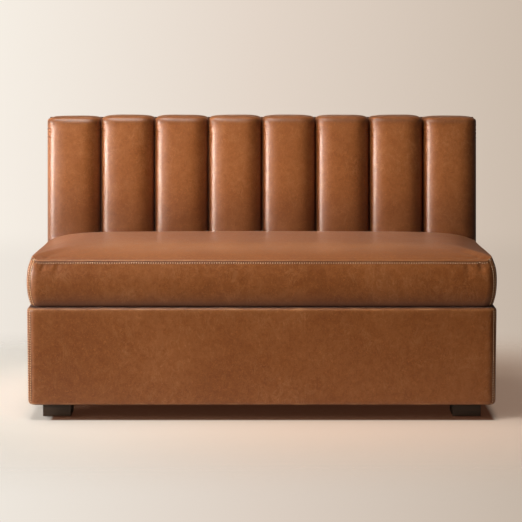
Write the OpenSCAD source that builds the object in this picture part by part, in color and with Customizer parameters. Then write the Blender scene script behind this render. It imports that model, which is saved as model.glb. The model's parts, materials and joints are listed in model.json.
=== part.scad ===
// Upholstered dining banquette: a plinth base, a crowned seat and a channelled back.
// Millimetres, +Z up, the front faces -Y, origin on the floor under the middle of the plan.

/* [Overall] */
// Width of the base, the seat and the back
overall_w = 1320; // [1000:10:1700]
// Depth from the front of the base to the outside back
overall_d = 660; // [620:5:740]
// Height of the back above the floor
overall_h = 828; // [780:2:920]
// Thickness of the leather
leather_t = 1.6; // [1.2:0.1:2.2]

/* [Base] */
// Height of the covered plinth, without its feet
base_h = 278; // [240:2:310]
// Radius of the upright corners of the plinth
base_corner_r = 16; // [12:1:22]
// Radius of the top and bottom edges of the plinth
base_edge_r = 10; // [6:1:12]
// Thickness of the plywood panels
panel_t = 18; // [15:1:21]
// Thickness of the foam over the plywood panels
pad_t = 10; // [6:1:14]
// Width of the turned leather that is stapled onto the edges of the panels
base_hem_w = 12; // [8:1:14]
// Side of the square cleat inside the front panel
cleat_s = 30; // [24:1:36]
// Depth of the rail that carries the back of the seat
seat_bearer_d = 30; // [24:1:40]
// Height of that rail
seat_bearer_h = 60; // [40:5:90]
// Side of the corner blocks that take the feet
block_w = 100; // [90:2:116]
// Height of the corner blocks
block_h = 36; // [30:1:46]

/* [Feet] */
// Height of the wooden foot blocks
foot_h = 39; // [30:1:60]
// Side of the square foot blocks
foot_w = 80; // [60:2:90]
// Distance of the feet from the front, the back and the sides
foot_inset = 40; // [34:1:48]
// Thickness of the glide under each foot
glide_h = 3; // [2:0.5:5]
// Diameter of the glide
glide_d = 30; // [20:1:40]
// Diameter of the nail that holds the glide
glide_nail_d = 3; // [2:0.5:4]
// Length of that nail
glide_nail_l = 8; // [5:1:8]

/* [Seat] */
// Height of the seat border, from the plinth to the top seam
seat_border_h = 129; // [115:1:160]
// Height of the crown above the top seam
seat_crown = 28; // [16:1:36]
// Distance in which the crown does most of its rise
crown_run = 60; // [40:1:70]
// Amount by which the border draws in at the top seam
seat_draw_top = 12; // [8:1:14]
// Amount by which the border draws in at the bottom
seat_draw_bottom = 11; // [8:1:14]
// Radius of the upright corners of the seat
seat_corner_r = 22; // [16:1:30]
// Thickness of the fibre wrap between leather and foam
wrap_t = 6; // [4:1:10]
// Width of the turned leather that is stapled under the seat rails
seat_hem_w = 12; // [8:1:16]
// Thickness of the seat rails
rail_t = 28; // [22:1:32]
// Height of the seat rails
rail_h = 40; // [32:1:50]
// Distance of the seat rails from the widest line of the border
rail_inset = 22; // [20:1:26]
// Height of the middle seat rail, which leaves the springs room
centre_rail_h = 20; // [16:1:24]
// Number of sinuous springs
spring_count = 8; // [5:1:10]
// Thickness of the spring wire, drawn square
spring_wire_d = 3.8; // [3:0.1:4.2]
// Width of a spring over its bends
spring_w = 50; // [40:1:60]
// Distance aimed at between two rungs of a spring
spring_rung_pitch = 30; // [24:1:40]
// Thickness of a spring clip's walls
clip_wall = 1.2; // [0.8:0.1:2]
// Length of a spring clip
clip_l = 18; // [12:1:24]
// Thickness of the insulator pad on the springs
insulator_t = 5; // [3:1:8]

/* [Back] */
// Number of upright channels
channel_count = 8; // [6:1:10]
// Lean of the back from the vertical, in degrees
recline = 5.5; // [3:0.5:7]
// Depth of a channel from its crest to the inner board
channel_depth = 62; // [50:1:68]
// Radius of the top front edge
top_edge_r = 24; // [18:1:28]
// Radius of the top rear edge
top_rear_r = 10; // [6:1:14]
// Thickness of the padding over the top rail
top_pad_t = 28; // [25:1:32]
// Squareness of a channel's section on the front
channel_power = 4; // [3:0.5:5]
// Squareness of a channel's section on the top
channel_top_power = 4; // [3:0.5:8]
// Amount by which the end channels are lower than the others
end_channel_drop = 3; // [0:0.5:5]
// Thickness of the inner board behind the channels
inner_board_t = 6; // [4:1:9]
// Thickness of the board in the outside back
outer_board_t = 3; // [2:0.5:5]
// Width of the back posts
post_w = 30; // [24:1:36]
// Depth of the back posts
post_d = 45; // [36:1:48]
// Room behind the upper end of the posts
post_room = 13.5; // [4:0.5:20]
// Height of the lower end of the posts above the corner blocks
post_lift = 10; // [6:1:30]
// Height of the top rail
top_rail_h = 30; // [24:1:40]
// Height of the bottom rail
bottom_rail_h = 40; // [30:1:50]
// Depth of the bottom rail
bottom_rail_d = 35; // [28:1:40]

/* [Fasteners] */
// Diameter of the carriage bolts that hold the back to the base
bolt_d = 8; // [6:1:10]
// Diameter of a carriage bolt's head
bolt_head_d = 20; // [17:1:24]
// Height of a carriage bolt's head
bolt_head_h = 4; // [3:0.5:5]
// Diameter of the washers
washer_d = 22; // [20:1:28]
// Thickness of the washers
washer_t = 1.6; // [1:0.2:2.4]
// Width of a nut across its flats
nut_flats = 13; // [12:1:17]
// Height of a nut
nut_h = 6.5; // [5:0.5:8]
// Length of thread beyond the nut
bolt_spare = 4; // [1:1:8]
// Diameter of the hanger bolts in the feet
hanger_d = 8; // [6:1:10]
// Length of a hanger bolt inside its foot
hanger_foot_l = 26; // [18:1:26]
// Diameter of a tee nut's flange
tee_flange_d = 22; // [18:1:26]
// Diameter of a tee nut's barrel
tee_barrel_d = 12; // [12:0.5:14]
// Length of a tee nut's barrel
tee_barrel_l = 10; // [8:1:14]
// Thickness of a tee nut's flange
tee_flange_t = 1.5; // [1:0.5:2.5]
// Diameter of the screws that hold the seat
screw_d = 6; // [5:0.5:8]
// Diameter of their heads
screw_head_d = 13; // [11:1:16]
// Height of their heads
screw_head_h = 3; // [2:0.5:5]
// Length of such a screw inside the seat rail
screw_bite = 24; // [16:1:30]
// Number of seat screws along each long rail
screw_count = 4; // [3:1:6]

/* [Hidden] */
$fn = 64;

fit = 0.3;                      // clearance between soft or curved neighbours
touch = 0.1;                    // clearance between flat faces that bear on each other
screw_margin = 2.5;             // distance of the seat screws from the turned leather
shank_clear = 0.2;              // radial clearance of a plain shank in its hole
thread_clear = 0.05;            // radial clearance of a thread in its nut
past = 1;                       // how far a cutting tool runs past a face
far = 3000;                     // size of a cutting tool that covers everything
corner_steps = 4;               // segments in a quarter turn of an upright corner
edge_steps = 3;                 // segments in a rounded long edge

half_w = overall_w / 2;
half_d = overall_d / 2;

// Heights
base_bottom_z = glide_h + foot_h;
base_top_z = base_bottom_z + base_h;
panel_bottom_z = base_bottom_z + leather_t;
panel_top_z = base_top_z - leather_t;
seat_bottom_z = base_top_z + touch;
rail_bottom_z = seat_bottom_z + leather_t + touch;
rail_top_z = rail_bottom_z + rail_h;
seam_z = base_top_z + seat_border_h;
crown_z = seam_z + seat_crown;
bulge_z = base_top_z + seat_border_h / 2;
frame_top_z = overall_h - top_pad_t;

// Plan of the base frame
skin_t = leather_t + pad_t;
frame_x = half_w - skin_t;
frame_y = half_d - skin_t;
inner_x = frame_x - panel_t;
inner_y = frame_y - panel_t;
divider_x = inner_x / 3;
hem_x = frame_x - base_hem_w;
hem_y = frame_y - base_hem_w;
foot_x = half_w - foot_inset - foot_w / 2;
foot_y = half_d - foot_inset - foot_w / 2;
block_top_z = panel_bottom_z + block_h;

// Plan of the seat, which takes the depth that the back leaves
post_top_z = frame_top_z - top_rail_h - touch;
back_stack = (post_top_z - crown_z) * tan(recline)
    + (channel_depth + inner_board_t + touch + post_d) / cos(recline)
    + post_room + touch + outer_board_t + leather_t;
seat_d = overall_d - back_stack;
seat_front_y = -half_d;
seat_back_y = seat_front_y + seat_d;
rail_x = half_w - rail_inset;
rail_front_y = seat_front_y + rail_inset;
rail_back_y = front_line(rail_bottom_z) - rail_inset;
clip_h = 2 * clip_wall + spring_wire_d;
insulator_z = rail_top_z + clip_h + touch;
pocket_top_z = insulator_z + insulator_t + fit;
screw_front_y = rail_front_y + seat_hem_w + screw_margin + screw_d / 2;
screw_rear_y = rail_back_y - seat_hem_w - screw_margin - screw_d / 2;
bearer_y = screw_rear_y;
bearer_bottom_z = base_top_z - seat_bearer_h;

// Lines of the back, as a Y for a height
function front_line(z) = seat_back_y + (z - crown_z) * tan(recline);
function board_line(z) = front_line(z) + channel_depth / cos(recline);
function frame_line(z) = board_line(z) + (inner_board_t + touch) / cos(recline);
back_bottom_z = base_top_z + touch;
rear_y = half_d - leather_t - outer_board_t - touch;
post_x = inner_x - touch;
post_bottom_z = block_top_z + post_lift;
channel_w = overall_w / channel_count;
channel_half = channel_w / 2 - fit;
channel_foot = 1;               // distance of a channel's hem from the inner board
outer_hem_z = overall_h - top_rear_r - end_channel_drop;

foot_places = [for (sx = [-1, 1], sy = [-1, 1]) [sx * foot_x, sy * foot_y]];
bolt_places = [for (sx = [-1, 1], z = [post_bottom_z + post_d, base_top_z - post_d])
    [sx, frame_line(z) + post_d / cos(recline) / 2, z]];
screw_xs = [for (i = [0:screw_count - 1]) inner_x * (2 * i + 1 - screw_count) / screw_count];

// Finishes
leather_colour = [0.47, 0.27, 0.14];
plywood_colour = [0.80, 0.68, 0.48];
hardwood_colour = [0.68, 0.50, 0.32];
foot_colour = [0.20, 0.14, 0.10];
foam_colour = [0.93, 0.90, 0.78];
fibre_colour = [0.95, 0.95, 0.93];
cloth_colour = [0.10, 0.10, 0.10];
steel_colour = [0.66, 0.67, 0.70];
nylon_colour = [0.86, 0.86, 0.84];

// A box from its lowest to its highest corner.
module block(low, high) {
    translate(low) cube(high - low);
}

// An outline in Y and Z, as a slab between two X.
module slab(x0, x1) {
    translate([x0, 0, 0]) rotate([90, 0, 90]) linear_extrude(x1 - x0) children();
}

// A cylinder along +X from a point.
module rod_x(r, l) {
    rotate([0, 90, 0]) cylinder(r = r, h = l);
}

// A left and a right copy.
module both_sides() {
    children();
    mirror([1, 0, 0]) children();
}

// Closed forms made of level rounded rectangles, each [inset, height]
function corner_arc(cx, cy, r, from) =
    [for (k = [0:corner_steps]) let (a = from + 90 * k / corner_steps) [cx + r * cos(a), cy + r * sin(a)]];
function round_rect(x, y0, y1, r) = concat(
    corner_arc(x - r, y0 + r, r, -90), corner_arc(x - r, y1 - r, r, 0),
    corner_arc(r - x, y1 - r, r, 90), corner_arc(r - x, y0 + r, r, 180));
ring_n = 4 * (corner_steps + 1);

module ring_stack(rings) {
    last = len(rings) - 1;
    points = [for (ring = rings) for (p = ring[1]) [p[0], p[1], ring[0]]];
    walls = [for (k = [0:last - 1]) for (i = [0:ring_n - 1])
        let (a = k * ring_n + i, b = k * ring_n + (i + 1) % ring_n)
        each [[a, a + ring_n, b + ring_n], [a, b + ring_n, b]]];
    bottom = [for (i = [1:ring_n - 2]) [0, i, i + 1]];
    top = [for (i = [1:ring_n - 2]) let (t = last * ring_n) [t, t + i + 1, t + i]];
    polyhedron(points, concat(walls, bottom, top), convexity = 6);
}

// Plinth form, its rounded edges turned in by a given inset
function plinth_rings(inset) =
    let (r = base_edge_r - inset * 0.5, low = base_bottom_z + inset, high = base_top_z - inset)
    let (turn = [for (k = [0:edge_steps]) let (a = 90 * k / edge_steps) [r * (1 - sin(a)), r * (1 - cos(a))]])
    let (pairs = concat([for (t = turn) [low + t[1], t[0]]],
                        [for (k = [edge_steps:-1:0]) [high - turn[k][1], turn[k][0]]]))
    [for (p = pairs) let (e = inset + p[1])
        [p[0], round_rect(half_w - e, e - half_d, half_d - e, max(3, base_corner_r - e))]];

// Part of the plan that belongs to one side, cut at 45 degrees through the corners
module side_sector(side, front_y, back_y) {
    reach = (back_y - front_y) / 3;
    outer_x = half_w + past;
    inner_edge = half_w - reach;
    near = front_y - past;
    beyond = back_y + past;
    outlines = [
        [[-outer_x, near], [outer_x, near], [inner_edge, front_y + reach], [-inner_edge, front_y + reach]],
        [[-outer_x, beyond], [-inner_edge, back_y - reach], [inner_edge, back_y - reach], [outer_x, beyond]],
        [[-outer_x, near], [-inner_edge, front_y + reach], [-inner_edge, back_y - reach], [-outer_x, beyond]],
        [[outer_x, near], [outer_x, beyond], [inner_edge, back_y - reach], [inner_edge, front_y + reach]]];
    linear_extrude(far) polygon(outlines[side]);
}
FRONT = 0;
REAR = 1;
LEFT = 2;
RIGHT = 3;

// Base
module base_front_panel() {
    color(plywood_colour) block([-frame_x, -frame_y, panel_bottom_z], [frame_x, -inner_y, panel_top_z]);
}

module base_rear_panel() {
    color(plywood_colour) block([-frame_x, inner_y, panel_bottom_z], [frame_x, frame_y, panel_top_z]);
}

// The end panel on the right, with the holes and head pockets of the back bolts.
module end_panel() {
    difference() {
        block([inner_x, -inner_y, panel_bottom_z], [frame_x, inner_y, panel_top_z]);
        for (p = bolt_places) if (p[0] > 0) {
            translate([inner_x - past, p[1], p[2]]) rod_x(bolt_d / 2 + shank_clear, panel_t + 2 * past);
            translate([frame_x - bolt_head_h - shank_clear, p[1], p[2]])
                rod_x(bolt_head_d / 2 + shank_clear, bolt_head_h + past);
        }
    }
}

module base_left_panel() {
    color(plywood_colour) mirror([1, 0, 0]) end_panel();
}

module base_right_panel() {
    color(plywood_colour) end_panel();
}

module base_dividers() {
    left = divider_x - panel_t / 2;
    right = divider_x + panel_t / 2;
    color(plywood_colour) both_sides() difference() {
        block([left, -inner_y, panel_bottom_z], [right, inner_y, panel_top_z]);
        block([left - past, -inner_y - past, panel_top_z - cleat_s - touch],
              [right + past, -inner_y + cleat_s + touch, panel_top_z + past]);
        block([left - past, bearer_y - seat_bearer_d / 2 - touch, bearer_bottom_z - touch],
              [right + past, bearer_y + seat_bearer_d / 2 + touch, panel_top_z + past]);
    }
}

module base_corner_blocks() {
    color(hardwood_colour) for (p = foot_places) difference() {
        sx = sign(p[0]);
        sy = sign(p[1]);
        translate([sx * (inner_x - block_w / 2), sy * (inner_y - block_w / 2), panel_bottom_z + block_h / 2])
            cube([block_w, block_w, block_h], center = true);
        translate([p[0], p[1], panel_bottom_z - past])
            cylinder(r = hanger_d / 2 + shank_clear, h = block_h + 2 * past);
        translate([p[0], p[1], block_top_z - tee_barrel_l - shank_clear])
            cylinder(r = tee_barrel_d / 2 + shank_clear, h = tee_barrel_l + past + shank_clear);
    }
}

module screw_holes(y) {
    for (x = screw_xs) translate([x, y, 0]) cylinder(r = screw_d / 2 + shank_clear, h = far);
}

module base_front_cleat() {
    color(hardwood_colour) difference() {
        block([-inner_x, -inner_y, panel_top_z - cleat_s], [inner_x, -inner_y + cleat_s, panel_top_z]);
        screw_holes(screw_front_y);
    }
}

module base_seat_bearer() {
    color(hardwood_colour) difference() {
        block([-inner_x, bearer_y - seat_bearer_d / 2, bearer_bottom_z],
              [inner_x, bearer_y + seat_bearer_d / 2, base_top_z]);
        screw_holes(screw_rear_y);
    }
}

module base_padding() {
    color(foam_colour) for (side = [FRONT, REAR, LEFT, RIGHT]) intersection() {
        difference() {
            ring_stack(plinth_rings(leather_t + fit));
            block([-frame_x - touch, -frame_y - touch, 0], [frame_x + touch, frame_y + touch, base_top_z]);
        }
        side_sector(side, -half_d, half_d);
    }
}

module base_leather(side) {
    color(leather_colour) intersection() {
        difference() {
            ring_stack(plinth_rings(0));
            ring_stack(plinth_rings(leather_t));
            block([-hem_x, -hem_y, 0], [hem_x, hem_y, far]);
        }
        side_sector(side, -half_d, half_d);
    }
}

module base_leather_front() { base_leather(FRONT); }
module base_leather_left() { base_leather(LEFT); }
module base_leather_right() { base_leather(RIGHT); }
module base_leather_rear() { base_leather(REAR); }

module dust_cover() {
    x = hem_x - fit;
    y = hem_y - fit;
    color(cloth_colour) difference() {
        block([-x, -y, base_bottom_z + touch], [x, y, panel_bottom_z - touch]);
        for (p = foot_places) translate([p[0], p[1], 0]) cylinder(r = hanger_d / 2 + shank_clear, h = far);
    }
}

// Feet
module foot(sx, sy) {
    color(foot_colour) translate([sx * foot_x, sy * foot_y, glide_h]) difference() {
        translate([-foot_w / 2, -foot_w / 2, 0]) cube([foot_w, foot_w, foot_h]);
        translate([0, 0, foot_h - hanger_foot_l - shank_clear])
            cylinder(r = hanger_d / 2 + shank_clear, h = hanger_foot_l + past + shank_clear);
        translate([0, 0, -past])
            cylinder(r = glide_nail_d / 2 + thread_clear, h = glide_nail_l + past + touch);
    }
}

module foot_front_left() { foot(-1, -1); }
module foot_front_right() { foot(1, -1); }
module foot_rear_left() { foot(-1, 1); }
module foot_rear_right() { foot(1, 1); }

module foot_glides() {
    color(nylon_colour) for (p = foot_places) translate([p[0], p[1], 0]) {
        cylinder(r = glide_d / 2, h = glide_h - touch / 2);
        cylinder(r = glide_nail_d / 2, h = glide_h + glide_nail_l);
    }
}

module foot_hanger_bolts() {
    low = base_bottom_z - hanger_foot_l;
    color(steel_colour) for (p = foot_places) translate([p[0], p[1], low])
        cylinder(r = hanger_d / 2, h = block_top_z + tee_flange_t - low);
}

module foot_tee_nuts() {
    color(steel_colour) for (p = foot_places) translate([p[0], p[1], block_top_z]) difference() {
        union() {
            translate([0, 0, touch]) cylinder(r = tee_flange_d / 2, h = tee_flange_t);
            translate([0, 0, -tee_barrel_l]) cylinder(r = tee_barrel_d / 2, h = tee_barrel_l + tee_flange_t);
        }
        translate([0, 0, -tee_barrel_l - past])
            cylinder(r = hanger_d / 2 + thread_clear, h = tee_barrel_l + tee_flange_t + 2 * past);
    }
}

// Seat form: the border bulges between its seams and the top is crowned
crown_reach = (seat_d - seat_draw_top) * 0.45;
function crown_rise(t) = seat_crown * (1 - exp(-t / crown_run)) / (1 - exp(-crown_reach / crown_run));
function border_draw(z) = z > bulge_z
    ? seat_draw_top * pow((z - bulge_z) / (seam_z - bulge_z), 2.6)
    : seat_draw_bottom * pow((bulge_z - z) / (bulge_z - base_top_z), 2);
hem_turn = [[0, 6], [1.8, 2.4], [5, 0.6]];      // height above the hem and extra inset of its rounding
border_steps = [0.1, 0.22, 0.35, 0.5, 0.64, 0.76, 0.86, 0.94, 1];
crown_steps = [0.02, 0.05, 0.1, 0.17, 0.26, 0.38, 0.54, 0.75, 1];

function seat_ring(z, inset, rear_inset, corner) =
    let (y0 = seat_front_y + inset, y1 = front_line(z) - fit - rear_inset)
    [z, round_rect(half_w - inset, y0, y1, min(corner, 0.48 * (y1 - y0)))];

function seat_rings(inset) =
    let (low = seat_bottom_z + inset, high = seam_z + crown_rise(inset) - inset)
    concat(
        [for (h = hem_turn) let (z = low + h[0], e = border_draw(z) + h[1] + inset)
            seat_ring(z, e, e * 0.4 + inset, max(2, seat_corner_r - inset))],
        [for (s = border_steps) let (z = low + s * (high - low), e = border_draw(z) + inset)
            seat_ring(z, e, border_draw(z) * 0.4 + inset * 1.1, max(2, seat_corner_r - inset))],
        [for (s = crown_steps) let (t = s * crown_reach, z = seam_z + crown_rise(t + inset) - inset)
            seat_ring(z, seat_draw_top + inset + t,
                      front_line(z) - front_line(high) + seat_draw_top * 0.4 + inset * 1.1 + 0.6 * t,
                      seat_corner_r + 0.5 * t)]);

module seat_frame_envelope(grow) {
    block([-rail_x - grow, rail_front_y - grow, 0], [rail_x + grow, rail_back_y + grow, pocket_top_z]);
}

module seat_leather() {
    hem = rail_x - seat_hem_w;
    color(leather_colour) difference() {
        ring_stack(seat_rings(0));
        ring_stack(seat_rings(leather_t));
        block([-hem, rail_front_y + seat_hem_w, 0], [hem, rail_back_y - seat_hem_w, bulge_z]);
    }
}

module seat_border(side) {
    color(leather_colour) intersection() {
        seat_leather();
        side_sector(side, seat_front_y, front_line(bulge_z));
        block([-far, -far, 0], [far, far, seam_z]);
    }
}

module seat_leather_front() { seat_border(FRONT); }
module seat_leather_left() { seat_border(LEFT); }
module seat_leather_right() { seat_border(RIGHT); }
module seat_leather_rear() { seat_border(REAR); }

module seat_leather_top() {
    color(leather_colour) intersection() {
        seat_leather();
        block([-far, -far, seam_z + touch], [far, far, far]);
    }
}

module seat_fibre_wrap() {
    color(fibre_colour) difference() {
        ring_stack(seat_rings(leather_t + fit));
        ring_stack(seat_rings(leather_t + fit + wrap_t));
        block([-far, -far, 0], [far, far, rail_bottom_z + rail_h / 2]);
    }
}

module seat_foam() {
    color(foam_colour) difference() {
        ring_stack(seat_rings(leather_t + wrap_t + 2 * fit));
        seat_frame_envelope(touch);
    }
}

module seat_front_rail() {
    color(hardwood_colour) difference() {
        block([-rail_x, rail_front_y, rail_bottom_z], [rail_x, rail_front_y + rail_t, rail_top_z]);
        seat_screw_bores(screw_front_y);
    }
}

module seat_rear_rail() {
    color(hardwood_colour) difference() {
        block([-rail_x, rail_back_y - rail_t, rail_bottom_z], [rail_x, rail_back_y, rail_top_z]);
        seat_screw_bores(screw_rear_y);
    }
}

module seat_screw_bores(y) {
    for (x = screw_xs) translate([x, y, rail_bottom_z - past])
        cylinder(r = screw_d / 2 + thread_clear, h = screw_bite + past + touch);
}

module seat_side_rails() {
    color(hardwood_colour) both_sides()
        block([rail_x - rail_t, rail_front_y + rail_t, rail_bottom_z],
              [rail_x, rail_back_y - rail_t, rail_top_z]);
}

module seat_centre_rail() {
    color(hardwood_colour)
        block([-rail_t / 2, rail_front_y + rail_t, rail_bottom_z],
              [rail_t / 2, rail_back_y - rail_t, rail_bottom_z + centre_rail_h]);
}

// Springs: straight rungs joined by half turns, clipped to the front and rear rails
spring_front_y = rail_front_y + rail_t / 2;
spring_run = rail_back_y - rail_t / 2 - spring_front_y;
rung_gaps = round(spring_run / spring_rung_pitch);
rung_step = spring_run / rung_gaps;
rung_l = spring_w - rung_step - spring_wire_d;
spring_z = rail_top_z + touch / 2 + clip_wall + thread_clear;
spring_span = 2 * (rail_x - rail_t) / spring_count;
spring_xs = [for (i = [0:spring_count - 1]) (i + 0.5 - spring_count / 2) * spring_span];

// One edge of the wire's path; hand is 1 for its left edge and -1 for its right edge
bend_steps = 6;
function wire_edge(hand) =
    let (half = spring_wire_d / 2, way = rung_gaps % 2 == 0 ? 1 : -1)
    concat([[-rung_l / 2, hand * half]],
        [for (i = [0:rung_gaps - 1]) let (side = i % 2 == 0 ? 1 : -1, r = rung_step / 2 - hand * side * half)
            for (k = [0:bend_steps]) let (a = 180 * k / bend_steps - 90)
                [side * (rung_l / 2 + r * cos(a)), (i + 0.5) * rung_step + r * sin(a)]],
        [[way * rung_l / 2, rung_gaps * rung_step + way * hand * half]]);
function reversed(list) = [for (i = [len(list) - 1:-1:0]) list[i]];

module sinuous_spring() {
    linear_extrude(spring_wire_d) polygon(concat(wire_edge(1), reversed(wire_edge(-1))));
}

module seat_springs() {
    color(steel_colour) for (x = spring_xs) translate([x, spring_front_y, spring_z]) sinuous_spring();
}

module seat_spring_clips() {
    clip_d = rail_t * 0.6;
    slot_h = spring_wire_d + 2 * thread_clear;
    color(steel_colour) for (x = spring_xs, y = [spring_front_y, spring_front_y + spring_run])
        translate([x, y, rail_top_z + touch / 2]) difference() {
            translate([-clip_l / 2, -clip_d / 2, 0]) cube([clip_l, clip_d, clip_h]);
            translate([-clip_l / 2 - past, -slot_h / 2, clip_wall])
                cube([clip_l + 2 * past, slot_h, slot_h]);
        }
}

module seat_insulator() {
    color(cloth_colour)
        block([-rail_x + fit, rail_front_y + fit, insulator_z],
              [rail_x - fit, rail_back_y - fit, insulator_z + insulator_t]);
}

module seat_screws() {
    places = [[screw_front_y, panel_top_z - cleat_s], [screw_rear_y, bearer_bottom_z]];
    color(steel_colour) for (x = screw_xs, p = places) translate([x, p[0], p[1] - screw_head_h]) {
        cylinder(r = screw_head_d / 2, h = screw_head_h - touch);
        cylinder(r = screw_d / 2, h = screw_head_h + rail_bottom_z + screw_bite - p[1]);
    }
}

// Back frame
module back_posts() {
    width = post_d / cos(recline);
    high = post_top_z;
    color(hardwood_colour) both_sides() difference() {
        slab(post_x - post_w, post_x) polygon([
            [frame_line(post_bottom_z), post_bottom_z], [frame_line(post_bottom_z) + width, post_bottom_z],
            [frame_line(high) + width, high], [frame_line(high), high]]);
        for (p = bolt_places) if (p[0] > 0)
            translate([post_x - post_w - past, p[1], p[2]])
                rod_x(bolt_d / 2 + shank_clear, post_w + 2 * past);
    }
}

// A tapered outline between the inner board and the outside back.
module back_outline(low, high) {
    polygon([[frame_line(low), low], [rear_y, low], [rear_y, high], [frame_line(high), high]]);
}

module back_side_panels() {
    color(plywood_colour) both_sides()
        slab(inner_x, frame_x) back_outline(back_bottom_z, frame_top_z);
}

module back_ribs() {
    color(plywood_colour) both_sides()
        slab(divider_x - panel_t / 2, divider_x + panel_t / 2)
            back_outline(back_bottom_z + bottom_rail_h + touch, post_top_z);
}

module back_top_rail() {
    low = frame_top_z - top_rail_h;
    color(hardwood_colour) slab(-inner_x + touch, inner_x - touch) back_outline(low, frame_top_z);
}

module back_bottom_rail() {
    x = post_x - post_w - touch;
    color(hardwood_colour)
        block([-x, rear_y - bottom_rail_d, back_bottom_z], [x, rear_y, back_bottom_z + bottom_rail_h]);
}

module back_inner_board() {
    color(plywood_colour) slab(-frame_x, frame_x) polygon([
        [board_line(back_bottom_z), back_bottom_z],
        [frame_line(back_bottom_z) - touch, back_bottom_z],
        [frame_line(frame_top_z) - touch, frame_top_z],
        [board_line(frame_top_z), frame_top_z]]);
}

// Channel form: stations along its path, each [hem point, crest point, squareness] in Y and Z
function unit(v) = v / norm(v);
function channel_stations(drop, inset) =
    let (top_z = overall_h - drop, r = top_edge_r, r2 = top_rear_r)
    let (zc = top_z - r, yc = front_line(zc) + r / cos(recline), corner_y = board_line(frame_top_z))
    let (hem_z = frame_top_z + channel_foot, foot_gap = channel_foot / cos(recline))
    let (straight = [for (z = [back_bottom_z, (back_bottom_z + zc) / 2])
            [[board_line(z) - foot_gap, z], [front_line(z), z], channel_power]],
         turn = [for (k = [0:4]) let (a = recline + (90 - recline) * k / 4)
            [[corner_y - channel_foot * cos(a), frame_top_z + channel_foot * sin(a)],
             [yc - r * cos(a), zc + r * sin(a)],
             channel_power + (channel_top_power - channel_power) * k / 4]],
         rear = [for (k = [0:2]) let (a = 45 * k)
            [[rear_y - r2 * (1 - k / 2), hem_z],
             [rear_y - r2 + r2 * sin(a), top_z - r2 + r2 * cos(a)], channel_top_power]])
    [for (s = concat(straight, turn, rear)) [s[0], s[1] - inset * unit(s[1] - s[0]), s[2]]];

across = 10;                    // segments across a channel
function station_points(s, centre, half) = [for (i = [0:across])
    let (a = 180 * i / across, c = cos(a))
    let (x = sign(c) * pow(abs(c), 2 / s[2]), g = pow(abs(sin(a)), 2 / s[2]))
    let (p = s[0] + g * (s[1] - s[0]))
    [centre - half * x, p[0], p[1]]];
function channel_grid(stations, centre, half) =
    [for (s = stations) each station_points(s, centre, half)];

// Triangles of a grid seen from outside, or from inside when flipped.
function grid_faces(rows, cols, first, flip) = [for (j = [0:rows - 2]) for (i = [0:cols - 2])
    let (a = first + j * cols + i, b = a + 1, c = b + cols, d = a + cols)
    each (flip ? [[a, b, c], [a, c, d]] : [[a, c, b], [a, d, c]])];

// A strip between two open rows of vertices of equal length.
function strip_faces(lower, upper) = [for (i = [0:len(lower) - 2])
    each [[lower[i], upper[i + 1], upper[i]], [lower[i], lower[i + 1], upper[i + 1]]]];

function channel_centre(n) = (n - 0.5) * channel_w - half_w;
function channel_drop(n) = n == 1 || n == channel_count ? end_channel_drop : 0;

// The leather of one channel, open towards the inner board.
module channel_leather(n) {
    outer = channel_stations(channel_drop(n), 0);
    inner = channel_stations(channel_drop(n), leather_t);
    rows = len(outer);
    cols = across + 1;
    first = rows * cols;
    points = concat(channel_grid(outer, channel_centre(n), channel_half),
                    channel_grid(inner, channel_centre(n), channel_half - leather_t));
    side = [for (j = [0:rows - 1]) j * cols];
    foot = [for (i = [0:cols - 1]) i];
    end = [for (i = [0:cols - 1]) (rows - 1) * cols + i];
    color(leather_colour) polyhedron(points, concat(
        grid_faces(rows, cols, 0, false), grid_faces(rows, cols, first, true),
        strip_faces([for (v = side) v + first], side),
        strip_faces([for (v = side) v + cols - 1], [for (v = side) v + cols - 1 + first]),
        strip_faces(foot, [for (v = foot) v + first]),
        strip_faces([for (v = end) v + first], end)), convexity = 6);
}

module channel_foam(n) {
    stations = channel_stations(channel_drop(n), leather_t + fit);
    rows = len(stations);
    cols = across + 1;
    back_left = [for (j = [0:rows - 1]) j * cols];
    back_right = [for (j = [0:rows - 1]) j * cols + cols - 1];
    end = (rows - 1) * cols;
    polyhedron(channel_grid(stations, channel_centre(n), channel_half - leather_t - fit), concat(
        grid_faces(rows, cols, 0, false),
        strip_faces(back_right, back_left),
        [for (i = [1:cols - 2]) [0, i, i + 1]],
        [for (i = [1:cols - 2]) [end, end + i + 1, end + i]]), convexity = 6);
}

module back_foam_channels() {
    color(foam_colour) for (n = [1:channel_count]) channel_foam(n);
}

// Sides and outside of the back
module back_side_outline() {
    low = back_bottom_z;
    high = frame_top_z;
    polygon([[board_line(low) + fit, low], [rear_y, low], [rear_y, high], [board_line(high) + fit, high]]);
}

module back_side_padding() {
    color(foam_colour) both_sides() slab(frame_x + touch, half_w - leather_t - touch) back_side_outline();
}

module back_leather_side() {
    color(leather_colour) slab(half_w - leather_t, half_w) back_side_outline();
}

module back_leather_left() { mirror([1, 0, 0]) back_leather_side(); }
module back_leather_right() { back_leather_side(); }

module back_outer_board() {
    x = half_w - leather_t - touch;
    color(plywood_colour)
        block([-x, rear_y + touch, back_bottom_z + leather_t + touch],
              [x, half_d - leather_t - touch, outer_hem_z - leather_t - touch]);
}

module back_leather_rear() {
    x = half_w - leather_t;
    color(leather_colour) difference() {
        block([-half_w, rear_y + touch, back_bottom_z], [half_w, half_d, outer_hem_z]);
        block([-x, 0, back_bottom_z + leather_t], [x, half_d - leather_t, outer_hem_z - leather_t]);
    }
}

// Bolts between the back posts and the end panels of the base
bolt_l = panel_t + touch + post_w + washer_t + nut_h + bolt_spare + 2 * touch;

module along_bolt(p, from) {
    mirror([p[0] > 0 ? 0 : 1, 0, 0]) translate([frame_x - from, p[1], p[2]]) rotate([0, 0, 180]) children();
}

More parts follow.
